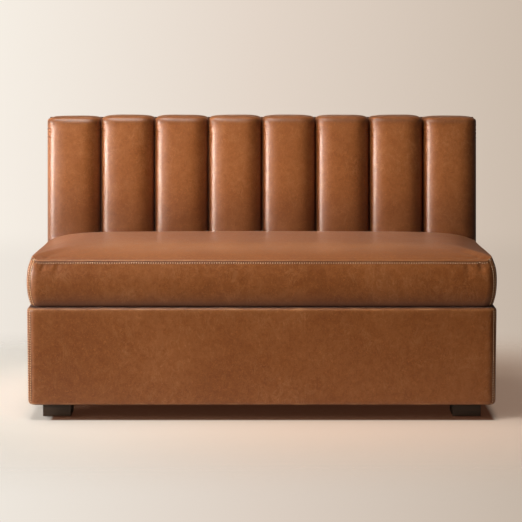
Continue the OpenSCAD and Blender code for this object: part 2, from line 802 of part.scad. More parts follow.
module back_bolts() {
    color(steel_colour) for (p = bolt_places) along_bolt(p, shank_clear) {
        rod_x(bolt_head_d / 2, bolt_head_h - shank_clear);
        rod_x(bolt_d / 2, bolt_l);
    }
}

module back_bolt_washers() {
    color(steel_colour) for (p = bolt_places) along_bolt(p, panel_t + touch + post_w + touch) difference() {
        rod_x(washer_d / 2, washer_t);
        translate([-past, 0, 0]) rod_x(bolt_d / 2 + shank_clear, washer_t + 2 * past);
    }
}

module back_bolt_nuts() {
    color(steel_colour) for (p = bolt_places)
        along_bolt(p, panel_t + touch + post_w + washer_t + 2 * touch) difference() {
            rotate([0, 90, 0]) cylinder(r = nut_flats / 2 / cos(30), h = nut_h, $fn = 6);
            translate([-past, 0, 0]) rod_x(bolt_d / 2 + thread_clear, nut_h + 2 * past);
        }
}

base_front_panel();
base_rear_panel();
base_left_panel();
base_right_panel();
base_dividers();
base_corner_blocks();
base_front_cleat();
base_seat_bearer();
base_padding();
base_leather_front();
base_leather_left();
base_leather_right();
base_leather_rear();
dust_cover();
foot_front_left();
foot_front_right();
foot_rear_left();
foot_rear_right();
foot_glides();
foot_hanger_bolts();
foot_tee_nuts();
seat_front_rail();
seat_rear_rail();
seat_side_rails();
seat_centre_rail();
seat_springs();
seat_spring_clips();
seat_insulator();
seat_foam();
seat_fibre_wrap();
seat_leather_top();
seat_leather_front();
seat_leather_left();
seat_leather_right();
seat_leather_rear();
seat_screws();
back_posts();
back_side_panels();
back_ribs();
back_top_rail();
back_bottom_rail();
back_inner_board();
back_foam_channels();
for (n = [1:channel_count]) channel_leather(n);
back_side_padding();
back_leather_left();
back_leather_right();
back_leather_rear();
back_outer_board();
back_bolts();
back_bolt_washers();
back_bolt_nuts();
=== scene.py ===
"""A dining banquette in tan leather: a plinth on feet, a crowned seat and a channelled back."""
import json
import math
from contextlib import contextmanager
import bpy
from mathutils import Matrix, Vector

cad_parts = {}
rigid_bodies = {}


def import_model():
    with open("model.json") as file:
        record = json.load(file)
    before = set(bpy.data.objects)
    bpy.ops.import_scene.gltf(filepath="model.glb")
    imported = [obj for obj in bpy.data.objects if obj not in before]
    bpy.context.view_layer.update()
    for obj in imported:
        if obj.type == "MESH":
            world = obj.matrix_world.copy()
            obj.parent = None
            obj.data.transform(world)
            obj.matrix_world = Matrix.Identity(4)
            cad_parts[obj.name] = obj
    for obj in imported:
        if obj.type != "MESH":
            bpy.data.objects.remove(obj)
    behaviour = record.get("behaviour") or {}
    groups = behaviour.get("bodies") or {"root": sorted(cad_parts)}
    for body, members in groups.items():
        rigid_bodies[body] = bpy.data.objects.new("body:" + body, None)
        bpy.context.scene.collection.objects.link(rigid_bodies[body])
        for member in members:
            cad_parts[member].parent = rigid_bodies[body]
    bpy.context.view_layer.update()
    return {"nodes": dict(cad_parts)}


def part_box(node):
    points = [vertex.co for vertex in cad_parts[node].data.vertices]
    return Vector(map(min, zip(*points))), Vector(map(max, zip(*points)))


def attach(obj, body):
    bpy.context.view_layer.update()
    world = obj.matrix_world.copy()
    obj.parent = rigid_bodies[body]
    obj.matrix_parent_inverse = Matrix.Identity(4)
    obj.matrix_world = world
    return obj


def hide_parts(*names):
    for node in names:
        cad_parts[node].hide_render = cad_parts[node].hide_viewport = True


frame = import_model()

from types import SimpleNamespace

import bpy
import numpy as np
from bpy.props import FloatProperty, FloatVectorProperty, PointerProperty
from mathutils import Vector
from mathutils.kdtree import KDTree

bl_info = {
    "name": "Channel-back banquette",
    "version": (1, 0, 0),
    "blender": (4, 5, 0),
    "location": "3D View > Sidebar > Banquette",
    "description": "Leather covers, padding, stitching and finishes of a dining banquette",
    "category": "Object",
}

# Heights and edges of the frame, in metres
BASE_LOW, BASE_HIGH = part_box("base_leather_front")[0].z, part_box("base_leather_front")[1].z
HALF_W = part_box("base_leather_right")[1].x
HALF_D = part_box("base_leather_rear")[1].y
SEAT_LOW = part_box("seat_leather_front")[0].z
SEAM_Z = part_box("seat_leather_front")[1].z
CROWN_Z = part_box("seat_leather_top")[1].z
BULGE_Z = (BASE_HIGH + SEAM_Z) / 2
BACK_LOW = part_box("back_channel_2")[0].z
CREST_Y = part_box("back_channel_2")[0].y
CHANNEL_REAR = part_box("back_channel_2")[1].y
BOARD_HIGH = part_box("back_inner_board")[1].z
FRAME_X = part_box("back_side_panels")[1].x
CHANNELS = sum(1 for n in frame["nodes"] if n.startswith("back_channel_"))

# Sewing, in metres: from an upright seam to its rows of stitches, from the seat's top seam down
# to its row, a row so far off that it leaves no mark, and a seam's own width and puckers
STITCH_ROW, BORDER_ROW, NO_ROW = 0.0055, 0.0038, 1.0
SEAM_WIDTH, PUCKER_PITCH = 0.0011, 0.0135


# ---- settings ----

def number(name, description, default, low=0.0, high=1.0, **more):
    return FloatProperty(name=name, description=description, default=default, min=low, max=high,
                         **more)


def metres(name, description, default):
    return number(name, description, default, high=2.0, precision=4, unit="LENGTH")


def share(name, description, default):
    return number(name, description, default, subtype="FACTOR")


def tint(name, description, default):
    return FloatVectorProperty(name=name, description=description, default=default, size=3,
                               min=0, max=1, subtype="COLOR")


class BanquetteSeat(bpy.types.PropertyGroup):
    draw_top: metres("Draw at the seam", "How far the border draws in at the top seam", 0.012)
    draw_bottom: metres("Draw at the base", "How far the border draws in at the plinth", 0.011)
    corner: metres("Corner radius", "Radius of the seat's upright corners", 0.030)
    hem: metres("Turned hem", "Reach of the leather that is turned under the seat", 0.034)
    fullness: metres("Fullness", "How far the crown rises above the foam's own form", 0.004)
    peak: metres("Corner peak", "How far the seam rises from the front round to the ends", 0.0095)
    pucker: metres("Puckers", "Height of the small puckers beside the seams", 0.0006)
    give: metres("Give", "How far the leather may move from its pattern", 0.0025)
    slack: share("Slack", "Extra leather in the covers", 0.0005)


class BanquetteBack(bpy.types.PropertyGroup):
    recline: number("Recline", "Lean of the back", math.radians(5.5), high=0.3, subtype="ANGLE")
    depth: metres("Channel depth", "Depth of a channel to the inner board", 0.062)
    squareness: number("Squareness", "Squareness of a channel's section", 3.5, 2, 8)
    bow: metres("Bow", "How far a channel falls back from its fullest height to its top", 0.0065)
    sink: metres("Sink", "How far the padding lets the top edge sink", 0.004)
    top_radius: metres("Top radius", "Radius of the top front edge", 0.030)
    rear_radius: metres("Rear radius", "Radius of the top rear edge", 0.010)
    pucker: metres("Puckers", "Height of the puckers in the grooves near the top", 0.0014)
    give: metres("Give", "How far the leather may move from its pattern", 0.003)
    slack: share("Slack", "Extra leather in the channels", 0.0005)


class BanquetteBase(bpy.types.PropertyGroup):
    corner: metres("Corner radius", "Radius of the plinth's upright corners", 0.026)
    edge: metres("Edge radius", "Radius of the plinth's top and bottom edges", 0.012)
    hem: metres("Turned hem", "Reach of the leather that is turned over the panels", 0.0236)
    wave: metres("Waviness", "Unevenness of the leather over the panels", 0.0006)
    foot_bevel: metres("Foot bevel", "Rounding of the feet's edges", 0.0022)
    sag: metres("Sag", "Sag of the dust cover between its staples", 0.0022)
    staple_pitch: metres("Staple pitch", "Distance between two staples", 0.042)


class BanquetteLeather(bpy.types.PropertyGroup):
    thickness: metres("Thickness", "Thickness of the leather", 0.0016)
    stitch_pitch: metres("Stitch pitch", "Distance between two stitches", 0.0068)
    stitch_length: metres("Stitch length", "Visible length of a stitch", 0.0036)
    thread: metres("Thread", "Radius of the thread", 0.0012)
    light: tint("Light tone", "Leather where it is palest", (0.375, 0.127, 0.033))
    middle: tint("Middle tone", "Leather over most of the covers", (0.298, 0.090, 0.016))
    dark: tint("Dark tone", "Leather where it is darkest", (0.232, 0.061, 0.008))
    # Worn tone: the leather's rubbed edges, and also a painted highlight on the plinth's edges and
    # over the seat's front
    wear_and_highlight: tint("Worn and painted highlight tone", "Leather on its rubbed edges, and painted highlights on edges and on the seat", (0.62, 0.30, 0.13))
    # Crease tone: the leather's seams, and also painted shade in grooves, hollows, creases and
    # under the seat
    crease: tint("Seam and painted shade tone", "Leather in its seams, and painted shade in its grooves, hollows and creases", (0.075, 0.018, 0.005))
    thread_tone: tint("Thread tone", "Colour of the stitching", (0.95, 0.62, 0.38))


class BanquetteStage(bpy.types.PropertyGroup):
    # The floor is painted paler on the left and darker on the right as light falling from the left,
    # painted in shadow under the plinth, and paled by a painted glow round the object
    floor_left: tint("Floor left", "Floor on the left, painted paler where the light falls", (0.77, 0.75, 0.70))
    floor_right: tint("Floor right", "Floor on the right, painted darker where the light falls off", (0.68, 0.585, 0.505))
    painted_shadow_under: tint("Painted shadow below", "Painted shadow on the floor under the plinth", (0.20, 0.10, 0.06))
    painted_glow: number("Veil", "Strength of the painted glow that pales the floor and its shadow round the object", 0.23, high=2)
    # The backdrop is painted paler on the left and darker on the right, as light falling from the
    # left
    left: tint("Backdrop left", "Backdrop on the left, painted paler where the light falls", (0.93, 0.87, 0.79))
    middle: tint("Backdrop middle", "Backdrop in the middle, painted halfway in the fall of light", (0.77, 0.665, 0.577))
    right: tint("Backdrop right", "Backdrop on the right, painted darker where the light falls off", (0.59, 0.49, 0.402))
    ambient: number("Ambient", "Strength of the room's light", 0.06, high=3)
    window: number("Window", "Strength of the room's light on the left", 0.9, high=5)
    key: number("Key light", "Power of the large lamp on the left", 9, high=2000)
    rim: number("Rim light", "Power of the low lamp on the left", 8, high=2000)
    front: number("Front light", "Power of the lamp in front on the left", 3.4, high=2000)
    fill: number("Fill light", "Power of the lamp above the seat", 14.5, high=1000)
    lens: number("Lens", "Focal length of the camera in mm", 128.04, 20, 300)


# ---- working in Blender ----

def only(obj):
    """Leaves one object selected and active, in object mode."""
    if bpy.context.mode != "OBJECT":
        bpy.ops.object.mode_set(mode="OBJECT")
    bpy.ops.object.select_all(action="DESELECT")
    bpy.context.view_layer.objects.active = obj
    if obj is not None:
        obj.select_set(True)


@contextmanager
def editing(obj, choice="SELECT"):
    """Edit mode on one object, with all of it or none of it selected."""
    only(obj)
    bpy.ops.object.mode_set(mode="EDIT")
    bpy.ops.mesh.select_all(action=choice)
    yield
    bpy.ops.object.mode_set(mode="OBJECT")


def remove(obj):
    only(obj)
    bpy.ops.object.delete()


def vectors(items, field):
    """One vector of each vertex or face, as an array."""
    flat = np.empty(len(items) * 3, np.float32)
    items.foreach_get(field, flat)
    return flat.reshape(-1, 3).astype(float)


def points_of(obj):
    return vectors(obj.data.vertices, "co")


def put_points(obj, points):
    obj.data.vertices.foreach_set("co", np.asarray(points, np.float32).ravel())
    obj.data.update()


def give_attribute(obj, name, values):
    layer = obj.data.attributes.get(name) or obj.data.attributes.new(name, "FLOAT", "POINT")
    layer.data.foreach_set("value", np.asarray(values, np.float32))


def give_sides(obj, sides):
    """Writes down the panel that each face belongs to."""
    layer = obj.data.attributes.new("side", "INT", "FACE")
    layer.data.foreach_set("value", np.asarray(sides, np.int32))


def sides_of(obj):
    sides = np.empty(len(obj.data.polygons), np.int32)
    obj.data.attributes["side"].data.foreach_get("value", sides)
    return sides


def new_grid(name, columns, rows):
    """A flat grid of cells, and each vertex's column and row."""
    only(None)
    bpy.ops.mesh.primitive_grid_add(x_subdivisions=columns, y_subdivisions=rows, size=1)
    obj = bpy.context.object
    obj.name = obj.data.name = name
    points = points_of(obj)
    column = np.rint((points[:, 0] + 0.5) * columns).astype(int)
    row = np.rint((points[:, 1] + 0.5) * rows).astype(int)
    return obj, column, row


def copy_of(source, name):
    obj = source.copy()
    obj.data = source.data.copy()
    obj.name = obj.data.name = name
    bpy.context.scene.collection.objects.link(obj)
    return obj


def cut_out(source, chosen, name):
    """A piece of its own from the chosen faces of a form."""
    obj = copy_of(source, name)
    only(obj)
    mesh = obj.data
    mesh.vertices.foreach_set("select", np.zeros(len(mesh.vertices), bool))
    mesh.edges.foreach_set("select", np.zeros(len(mesh.edges), bool))
    mesh.polygons.foreach_set("select", ~chosen)
    bpy.ops.object.mode_set(mode="EDIT")
    bpy.ops.mesh.select_mode(type="FACE")
    bpy.ops.mesh.delete(type="FACE")
    bpy.ops.object.mode_set(mode="OBJECT")
    return obj


def weld(obj, distance=1e-5, outward=True):
    """Merges vertices that lie together, and turns the faces outwards."""
    with editing(obj):
        bpy.ops.mesh.remove_doubles(threshold=distance)
        if outward:
            bpy.ops.mesh.normals_make_consistent(inside=False)


def close_holes(obj):
    with editing(obj, "DESELECT"):
        bpy.ops.mesh.select_mode(type="EDGE")
        bpy.ops.mesh.select_non_manifold(extend=False, use_wire=False, use_multi_face=False,
                                         use_non_contiguous=False, use_verts=False)
        bpy.ops.mesh.edge_face_add()
        bpy.ops.mesh.select_all(action="SELECT")
        bpy.ops.mesh.normals_make_consistent(inside=False)


def apply_modifier(obj, kind, **settings):
    only(obj)
    modifier = obj.modifiers.new(kind.title(), kind)
    for key, value in settings.items():
        setattr(modifier, key, value)
    bpy.ops.object.modifier_apply(modifier=modifier.name)


def refine(obj, thickness=0.0, levels=1, sharp=55):
    """Subdivides a piece, gives it a wall if it has one, and shades it smooth."""
    if levels:
        apply_modifier(obj, "SUBSURF", levels=levels, render_levels=levels,
                       boundary_smooth="PRESERVE_CORNERS")
    if thickness:
        apply_modifier(obj, "SOLIDIFY", thickness=thickness, offset=-1, use_rim=True)
    only(obj)
    bpy.ops.object.shade_smooth_by_angle(angle=math.radians(sharp))


def shrunk_copy(source, name, amount):
    """A copy of a form, moved inwards all over."""
    obj = copy_of(source, name)
    put_points(obj, points_of(obj) - amount * vectors(obj.data.vertices, "normal"))
    return obj


def settle(obj, held, reach, pressure, slack, frames=20):
    """Lets the leather find its own shape over the padding: held vertices stay, and the others
    move by no more than reach."""
    before = points_of(obj)
    group = obj.vertex_groups.new(name="held")
    for weight in np.unique(held):
        if weight > 0:
            group.add([int(i) for i in np.flatnonzero(held == weight)], float(weight), "REPLACE")
    only(obj)
    modifier = obj.modifiers.new("Cloth", "CLOTH")
    cloth = modifier.settings
    cloth.quality = 6
    cloth.mass = 0.15
    cloth.tension_stiffness = cloth.compression_stiffness = 18
    cloth.shear_stiffness = 9
    cloth.bending_stiffness = 1.2
    cloth.use_pressure = True
    cloth.uniform_pressure_force = pressure
    cloth.shrink_min = -slack
    cloth.vertex_group_mass = "held"
    cloth.effector_weights.gravity = 0
    modifier.collision_settings.use_collision = False
    modifier.point_cache.frame_start, modifier.point_cache.frame_end = 1, frames
    for moment in range(1, frames + 1):
        bpy.context.scene.frame_set(moment)
    bpy.ops.object.modifier_apply(modifier=modifier.name)
    bpy.context.scene.frame_set(1)
    obj.vertex_groups.clear()
    move = points_of(obj) - before
    length = np.linalg.norm(move, axis=1, keepdims=True)
    put_points(obj, before + move * reach / np.sqrt(reach * reach + length * length))


def place(obj, finish, slot, *nodes):
    """Finishes a piece: material, slot (not used), body, and the nodes that it stands for."""
    obj.data.materials.clear()
    obj.data.materials.append(finish)
    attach(obj, "root")
    if nodes:
        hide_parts(*nodes)
    return obj


def repeated(name, model, places):
    """One piece made of copies of a small model, each at a point with three axes."""
    points = points_of(model)
    faces = [tuple(p.vertices) for p in model.data.polygons]
    every, cells = [], []
    for at, along, across, up in places:
        shift = len(every) * len(points)
        every.append(np.asarray(at) + points @ np.array([along, across, up], float))
        cells += [tuple(v + shift for v in f) for f in faces]
    mesh = bpy.data.meshes.new(name)
    mesh.from_pydata(np.concatenate(every).tolist(), [], cells)
    obj = bpy.data.objects.new(name, mesh)
    bpy.context.scene.collection.objects.link(obj)
    remove(model)
    only(obj)
    bpy.ops.object.shade_smooth()
    return obj


def unit(v):
    v = np.asarray(v, float)
    return v / np.maximum(np.linalg.norm(v, axis=-1, keepdims=True), 1e-12)


def along(path, pitch):
    """Points at an even pitch on an open path, with their directions."""
    steps = np.linalg.norm(np.diff(path, axis=0), axis=1)
    far = np.concatenate([[0], np.cumsum(steps)])
    count = max(2, int(far[-1] / pitch))
    at = (np.arange(count) + 0.5) * far[-1] / count

    def point(distance):
        return np.stack([np.interp(distance, far, path[:, k]) for k in range(3)], 1)

    return point(at), unit(point(at + 0.001) - point(at - 0.001))


# ---- finishes ----

class Nodes:
    """A node tree, with short ways to add its nodes and to link them."""

    def __init__(self, tree, where="Object"):
        self.tree = tree
        self.where = self.add("TexCoord").outputs[where]

    def add(self, kind, **settings):
        node = self.tree.nodes.new("ShaderNode" + kind)
        for key, value in settings.items():
            setattr(node, key, value)
        return node

    def fill(self, socket, value):
        """Links a socket to a value, or sets it."""
        if isinstance(value, bpy.types.NodeSocket):
            self.tree.links.new(value, socket)
        elif socket.type == "RGBA":
            socket.default_value = (*value, 1)
        else:
            socket.default_value = value

    def put(self, node, *values, **named):
        """Fills a node's first sockets in their order, and others by their names."""
        for socket, value in zip(node.inputs, values):
            self.fill(socket, value)
        for key, value in named.items():
            self.fill(node.inputs[key.replace("_", " ")], value)
        return node

    def math(self, operation, *values):
        return self.put(self.add("Math", operation=operation), *values).outputs[0]

    def stretched(self, scale, turn=(0, 0, 0)):
        node = self.put(self.add("Mapping"), Vector=self.where, Scale=scale, Rotation=turn)
        return node.outputs["Vector"]

    def noise(self, scale, detail=3.0, rough=0.55, where=None, distortion=0.0):
        node = self.put(self.add("TexNoise"), Vector=where or self.where, Scale=scale,
                        Detail=detail, Roughness=rough, Distortion=distortion)
        return node.outputs["Fac"]

    def cells(self, scale, feature="F1"):
        node = self.put(self.add("TexVoronoi", feature=feature), Vector=self.where, Scale=scale)
        return node.outputs["Distance"]

    def sum(self, *parts):
        """A weighted sum of values, each given with its weight."""
        total = 0.0
        for value, weight in parts:
            total = self.math("MULTIPLY_ADD", value, weight, total)
        return total

    def limit(self, value, low, high, to_low=0.0, to_high=1.0, course="SMOOTHSTEP"):
        node = self.add("MapRange", clamp=True, interpolation_type=course)
        return self.put(node, value, low, high, to_low, to_high).outputs["Result"]

    def ramp(self, value, *stops):
        node = self.put(self.add("ValToRGB"), value)
        bar = node.color_ramp.elements
        while len(bar) < len(stops):
            bar.new(1.0)
        for element, (at, colour) in zip(bar, stops):
            element.position, element.color = at, (*colour, 1)
        return node.outputs["Color"]

    def mix(self, factor, first, second, blend="MIX"):
        node = self.put(self.add("Mix", data_type="RGBA", blend_type=blend), factor)
        self.fill(node.inputs[6], first)
        self.fill(node.inputs[7], second)
        return node.outputs[2]


class Finish(Nodes):
    """A material under construction, with its shader's own numbers set on its sockets."""

    def __init__(self, name, **sockets):
        self.material = bpy.data.materials.new(name)
        self.material.use_nodes = True
        super().__init__(self.material.node_tree)
        self.shader = self.put(self.tree.nodes["Principled BSDF"], **sockets)

    def relief(self, height, distance, strength=1.0, under=None):
        node = self.put(self.add("Bump"), Height=height, Distance=distance, Strength=strength)
        if under is not None:
            self.put(node, Normal=under)
        return node.outputs["Normal"]

    def attribute(self, name):
        return self.add("Attribute", attribute_name=name).outputs["Fac"]

    def done(self, colour, rough, normal):
        self.put(self.shader, Base_Color=colour, Roughness=rough, Normal=normal)
        return self.material


_made = {}


def finish(name):
    """A finish by its name, made when it is first asked for."""
    if name not in _made:
        _made[name] = FINISHES[name]()
    return _made[name]


def leather():
    """Clouded and flecked, with faint scuffs; paler where the pieces mark wear and painted
    highlights, and darker where they mark seams and painted shade.
    """
    tones = bpy.context.scene.banquette_leather
    f = Finish("tan leather", IOR=1.5, Sheen_Weight=0.06, Sheen_Roughness=0.5, Coat_Weight=0.22,
               Coat_Roughness=0.30)
    broad = f.noise(5.0, 2, 0.5)
    cloudy = f.noise(48, 5, 0.65, distortion=0.6)
    streak = f.noise(170, 4, 0.65, where=f.stretched((1, 1, 0.6)))
    tone = f.sum((broad, 0.30), (cloudy, 0.42), (streak, 0.28))
    colour = f.ramp(tone, (0.36, tones.dark), (0.5, tones.middle), (0.64, tones.light))
    fleck = f.noise(130, 7, 0.74, distortion=2.0)
    pale = tuple(1.6 * c for c in tones.light)
    colour = f.mix(f.limit(fleck, 0.52, 0.68, 0.0, 0.5), colour, pale)
    colour = f.mix(f.limit(fleck, 0.28, 0.45, 0.30, 0.0), colour, tones.dark)
    hair = f.noise(26, 6, 0.62, where=f.stretched((1, 1, 0.6), (0.3, 0.2, 0.5)), distortion=1.4)
    aside = f.math("ABSOLUTE", f.math("SUBTRACT", hair, 0.5))
    rubbed = f.limit(f.noise(11, 3, 0.5), 0.42, 0.62, 0.05, 0.22)
    scuff = f.math("MULTIPLY", f.limit(aside, 0.0, 0.024, 1.0, 0.0), rubbed)
    colour = f.mix(scuff, colour, tones.wear_and_highlight)
    grain = f.cells(620, "SMOOTH_F1")
    pores = f.noise(900, 2, 0.5)
    colour = f.mix(f.limit(grain, 0.25, 0.7, 0.10, 0.0), colour, tones.crease)
    # Dark seams, and painted shade where the pieces mark it
    colour = f.mix(f.limit(f.attribute("crease"), 0, 1, 0.0, 0.88), colour, tones.crease)
    # Paler with wear, and a painted highlight where the pieces mark it
    colour = f.mix(f.limit(f.attribute("crest"), 0, 1, 0.0, 0.85), colour, tones.wear_and_highlight)
    rough = f.limit(f.sum((cloudy, 0.6), (grain, 0.4)), 0.25, 0.6, 0.32, 0.45)
    rough = f.sum((rough, 1.0), (f.limit(f.attribute("crease"), 0.5, 0.8), 0.3))
    skin = f.relief(fleck, 0.0008, 0.4)
    skin = f.relief(grain, 0.00018, 0.55, skin)
    skin = f.relief(pores, 0.00008, 0.35, skin)
    return f.done(colour, rough, skin)


def thread():
    tones = bpy.context.scene.banquette_leather
    f = Finish("bonded thread", IOR=1.5, Sheen_Weight=0.2, Sheen_Roughness=0.5)
    twist = f.noise(2600, 2, 0.5)
    shaded = tuple(0.72 * c for c in tones.thread_tone)
    colour = f.mix(f.limit(twist, 0.35, 0.65), tones.thread_tone, shaded)
    return f.done(colour, f.limit(twist, 0.3, 0.7, 0.5, 0.7), f.relief(twist, 0.0001, 0.4))


PLY = 0.0014  # a layer of the plywood, in metres


def wood(name, light, dark, lengthways, rough=(0.5, 0.65), scale=1.0, plies=None, coat=0.0):
    """Wood with its grain along the lengthways scale; plies is the axis through the layers."""
    f = Finish(name, IOR=1.5, Coat_Weight=coat, Coat_Roughness=0.3)
    where = f.stretched(lengthways)
    figure = f.noise(9 * scale, 4, 0.6, where, 1.2)
    fibre = f.noise(70 * scale, 5, 0.65, where)
    pore = f.noise(260 * scale, 2, 0.5, where)
    tone = f.sum((figure, 0.45), (fibre, 0.38), (pore, 0.17))
    middle = tuple((a + b) / 2 for a, b in zip(light, dark))
    colour = f.ramp(tone, (0.34, dark), (0.52, middle), (0.68, light))
    if plies is not None:
        through = f.put(f.add("SeparateXYZ"), f.where).outputs[plies]
        band = f.math("PINGPONG", through, PLY)
        colour = f.mix(f.limit(band, 0.0003, 0.0011, 0.0, 0.45), colour, dark)
    rest = f.relief(fibre, 0.0003, 0.4)
    return f.done(colour, f.limit(fibre, 0.3, 0.7, *rough), f.relief(pore, 0.00012, 0.4, rest))


def steel():
    f = Finish("zinc plated steel", Metallic=1.0)
    patch = f.noise(160, 4, 0.6)
    fine = f.noise(900, 2, 0.5)
    colour = f.ramp(patch, (0.3, (0.42, 0.43, 0.45)), (0.7, (0.62, 0.63, 0.66)))
    return f.done(colour, f.limit(patch, 0.3, 0.7, 0.28, 0.42), f.relief(fine, 0.00005, 0.3))


def nylon():
    f = Finish("moulded nylon", IOR=1.53, Subsurface_Weight=0.05,
               Subsurface_Radius=(0.01, 0.01, 0.01))
    fine = f.noise(500, 3, 0.5)
    colour = f.ramp(fine, (0.3, (0.66, 0.66, 0.62)), (0.7, (0.74, 0.74, 0.70)))
    return f.done(colour, f.limit(fine, 0.3, 0.7, 0.42, 0.55), f.relief(fine, 0.00008, 0.4))


def lining():
    """Non-woven black cloth: pressed fibres with a grid of bonding points."""
    f = Finish("non-woven cloth", IOR=1.4, Sheen_Weight=0.25, Sheen_Roughness=0.6)
    fibres = f.noise(700, 4, 0.7, f.stretched((1, 0.35, 1), (0, 0, 0.6)))
    points = f.cells(420)
    colour = f.ramp(f.sum((fibres, 0.7), (points, 0.5)), (0.3, (0.006, 0.006, 0.006)),
                    (0.8, (0.028, 0.027, 0.026)))
    felt = f.relief(points, 0.0002, 0.6, f.relief(fibres, 0.0001, 0.5))
    return f.done(colour, f.limit(fibres, 0.3, 0.7, 0.75, 0.92), felt)


def foam():
    f = Finish("upholstery foam", IOR=1.35)
    cells = f.cells(900)
    age = f.noise(12, 3, 0.5)
    fresh = f.ramp(age, (0.3, (0.78, 0.70, 0.46)), (0.7, (0.86, 0.80, 0.60)))
    colour = f.mix(f.limit(cells, 0.1, 0.6, 0.35, 0), fresh, (0.5, 0.43, 0.26))
    return f.done(colour, f.limit(cells, 0, 1, 0.85, 0.95), f.relief(cells, 0.0006, 0.7))


BIRCH = ((0.66, 0.49, 0.29), (0.46, 0.30, 0.15))
BEECH = ((0.52, 0.30, 0.15), (0.36, 0.18, 0.08))
STAIN = ((0.075, 0.037, 0.017), (0.024, 0.011, 0.004))
PRESSED = ((0.30, 0.17, 0.08), (0.17, 0.09, 0.04))
ALONG_X, ALONG_Y = (0.12, 1, 1), (1, 0.12, 1)
FINISHES = {
    "leather": leather,
    "thread": thread,
    "steel": steel,
    "nylon": nylon,
    "lining": lining,
    "foam": foam,
    "foot": lambda: wood("dark stained oak", *STAIN, ALONG_X, (0.42, 0.6), 2.4, coat=0.05),
    "beech": lambda: wood("raw beech along X", *BEECH, (0.1, 1, 1)),
    "beech across": lambda: wood("raw beech along Y", *BEECH, (1, 0.1, 1)),
    "beech upright": lambda: wood("raw beech along Z", *BEECH, (1, 1, 0.1)),
    "ply front": lambda: wood("birch plywood in layers along Y", *BIRCH, ALONG_X, plies=1),
    "ply end": lambda: wood("birch plywood in layers along X", *BIRCH, ALONG_Y, plies=0),
    "hardboard": lambda: wood("pressed hardboard", *PRESSED, (1, 1, 1), (0.6, 0.75), 3),
}

# The frame's own nodes that stay as they are, with their finishes and slots
KEPT = {
    "ply front": ("plywood", "base_front_panel", "base_rear_panel", "back_inner_board"),
    "ply end": ("plywood", "base_left_panel", "base_right_panel", "base_dividers",
                "back_side_panels", "back_ribs"),
    "beech": ("hardwood", "base_corner_blocks", "base_front_cleat", "base_seat_bearer",
              "seat_front_rail", "seat_rear_rail", "back_top_rail", "back_bottom_rail"),
    "beech across": ("hardwood", "seat_side_rails", "seat_centre_rail"),
    "beech upright": ("hardwood", "back_posts"),
    "hardboard": ("hardboard", "back_outer_board"),
    "nylon": ("nylon", "foot_glides"),
    "steel": ("steel", "foot_hanger_bolts", "foot_tee_nuts", "seat_springs", "seat_spring_clips",
              "seat_screws", "back_bolts", "back_bolt_washers", "back_bolt_nuts"),
}


# ---- shared forms ----

def bell(distance, width, centre=0.0):
    """A hump of height 1 at its centre, which fades within a width or two."""
    return np.exp(-((distance - centre) / width) ** 2)


def fade(distance, reach):
    return np.exp(-distance / reach)


def ease(part):
    """A share that starts and ends softly."""
    part = np.clip(part, 0, 1)
    return part * part * (3 - 2 * part)


SEAM_STEPS = (0, 0.0010, 0.0021, 0.0034, 0.0050, 0.0068, 0.0090, 0.0120, 0.0165, 0.0225)


def spread(length, first, last, pitch):
    """Distances across a panel, close together towards both ends."""
    middle = length - first[-1] - last[-1]
    count = max(1, round(middle / pitch))
    inner = first[-1] + middle * np.arange(1, count) / count
    return np.concatenate([first, inner, length - np.array(last)[::-1]])


def rounded(x, y, half_x, front, back, radius):
    """Rounds the corners of a rectangular net: the new place of each point, its outward direction
    at the edge, and its distance along the edge from the middle of the nearest corner."""
    middle, half_y = (front + back) / 2, (back - front) / 2
    side_x, side_y = np.sign(x), np.sign(y - middle)
    ax, ay = np.abs(x) - (half_x - radius), np.abs(y - middle) - (half_y - radius)
    corner = (ax > 1e-7) & (ay > 1e-7)
    length = np.maximum(np.hypot(ax, ay), 1e-9)
    pull = np.where(corner, np.maximum(ax, ay) / length, 1)
    new_x = side_x * (half_x - radius + np.where(corner, ax * pull, ax))
    new_y = middle + side_y * (half_y - radius + np.where(corner, ay * pull, ay))
    out_x = side_x * np.where(corner, ax / length, ax >= ay)
    out_y = side_y * np.where(corner, ay / length, ay > ax)
    turn = np.arctan2(np.maximum(ay, 0), np.maximum(ax, 1e-9))
    far = np.where(corner, np.abs(turn - math.pi / 4) * radius,
                   math.pi / 4 * radius + np.maximum(0, -np.minimum(ax, ay)))
    return new_x, new_y, out_x, out_y, far


def seam_roll(distance, ridge=0.0009, row=STITCH_ROW):
    """Height of the leather beside a seam: a sunk seam, a rolled edge and a drawn stitch row."""
    return (ridge * bell(distance, 0.0018, 0.0034) - 0.0007 * bell(distance, 0.0013, row)
            - 0.0017 * bell(distance, SEAM_WIDTH))


def seam_dark(distance, row=STITCH_ROW):
    """How dark the leather is in a seam and under its row of stitches."""
    return np.maximum(bell(distance, SEAM_WIDTH), 0.95 * bell(distance, 0.0016, row))


def seam_pale(distance):
    """How pale the leather is on the rolled edge of a seam: worn, and with a painted highlight."""
    return bell(distance, 0.0016, 0.0036)


def waves(at, pitch, start=0.0):
    return np.sin(2 * math.pi * at / pitch + start)


def ripple(at, seed):
    """Uneven waves along a seam."""
    return (waves(at, 0.031, 1.3 * seed) + 0.8 * waves(at, 0.0472, 2.1 * seed)
            + 0.6 * waves(at, 0.083, 0.7 * seed)) / 1.7


def dimples(a, b, spots):
    """Small hollows, each given as its place, its two widths and its depth."""
    return sum(-deep * np.exp(-((a - a0) / wide) ** 2 - ((b - b0) / long) ** 2)
               for a0, b0, wide, long, deep in spots)


def near(distance, reach, start=0.004):
    """Strength of an effect that starts beside a seam and fades with distance."""
    return fade(distance, reach) * (1 - fade(distance, start)) ** 2


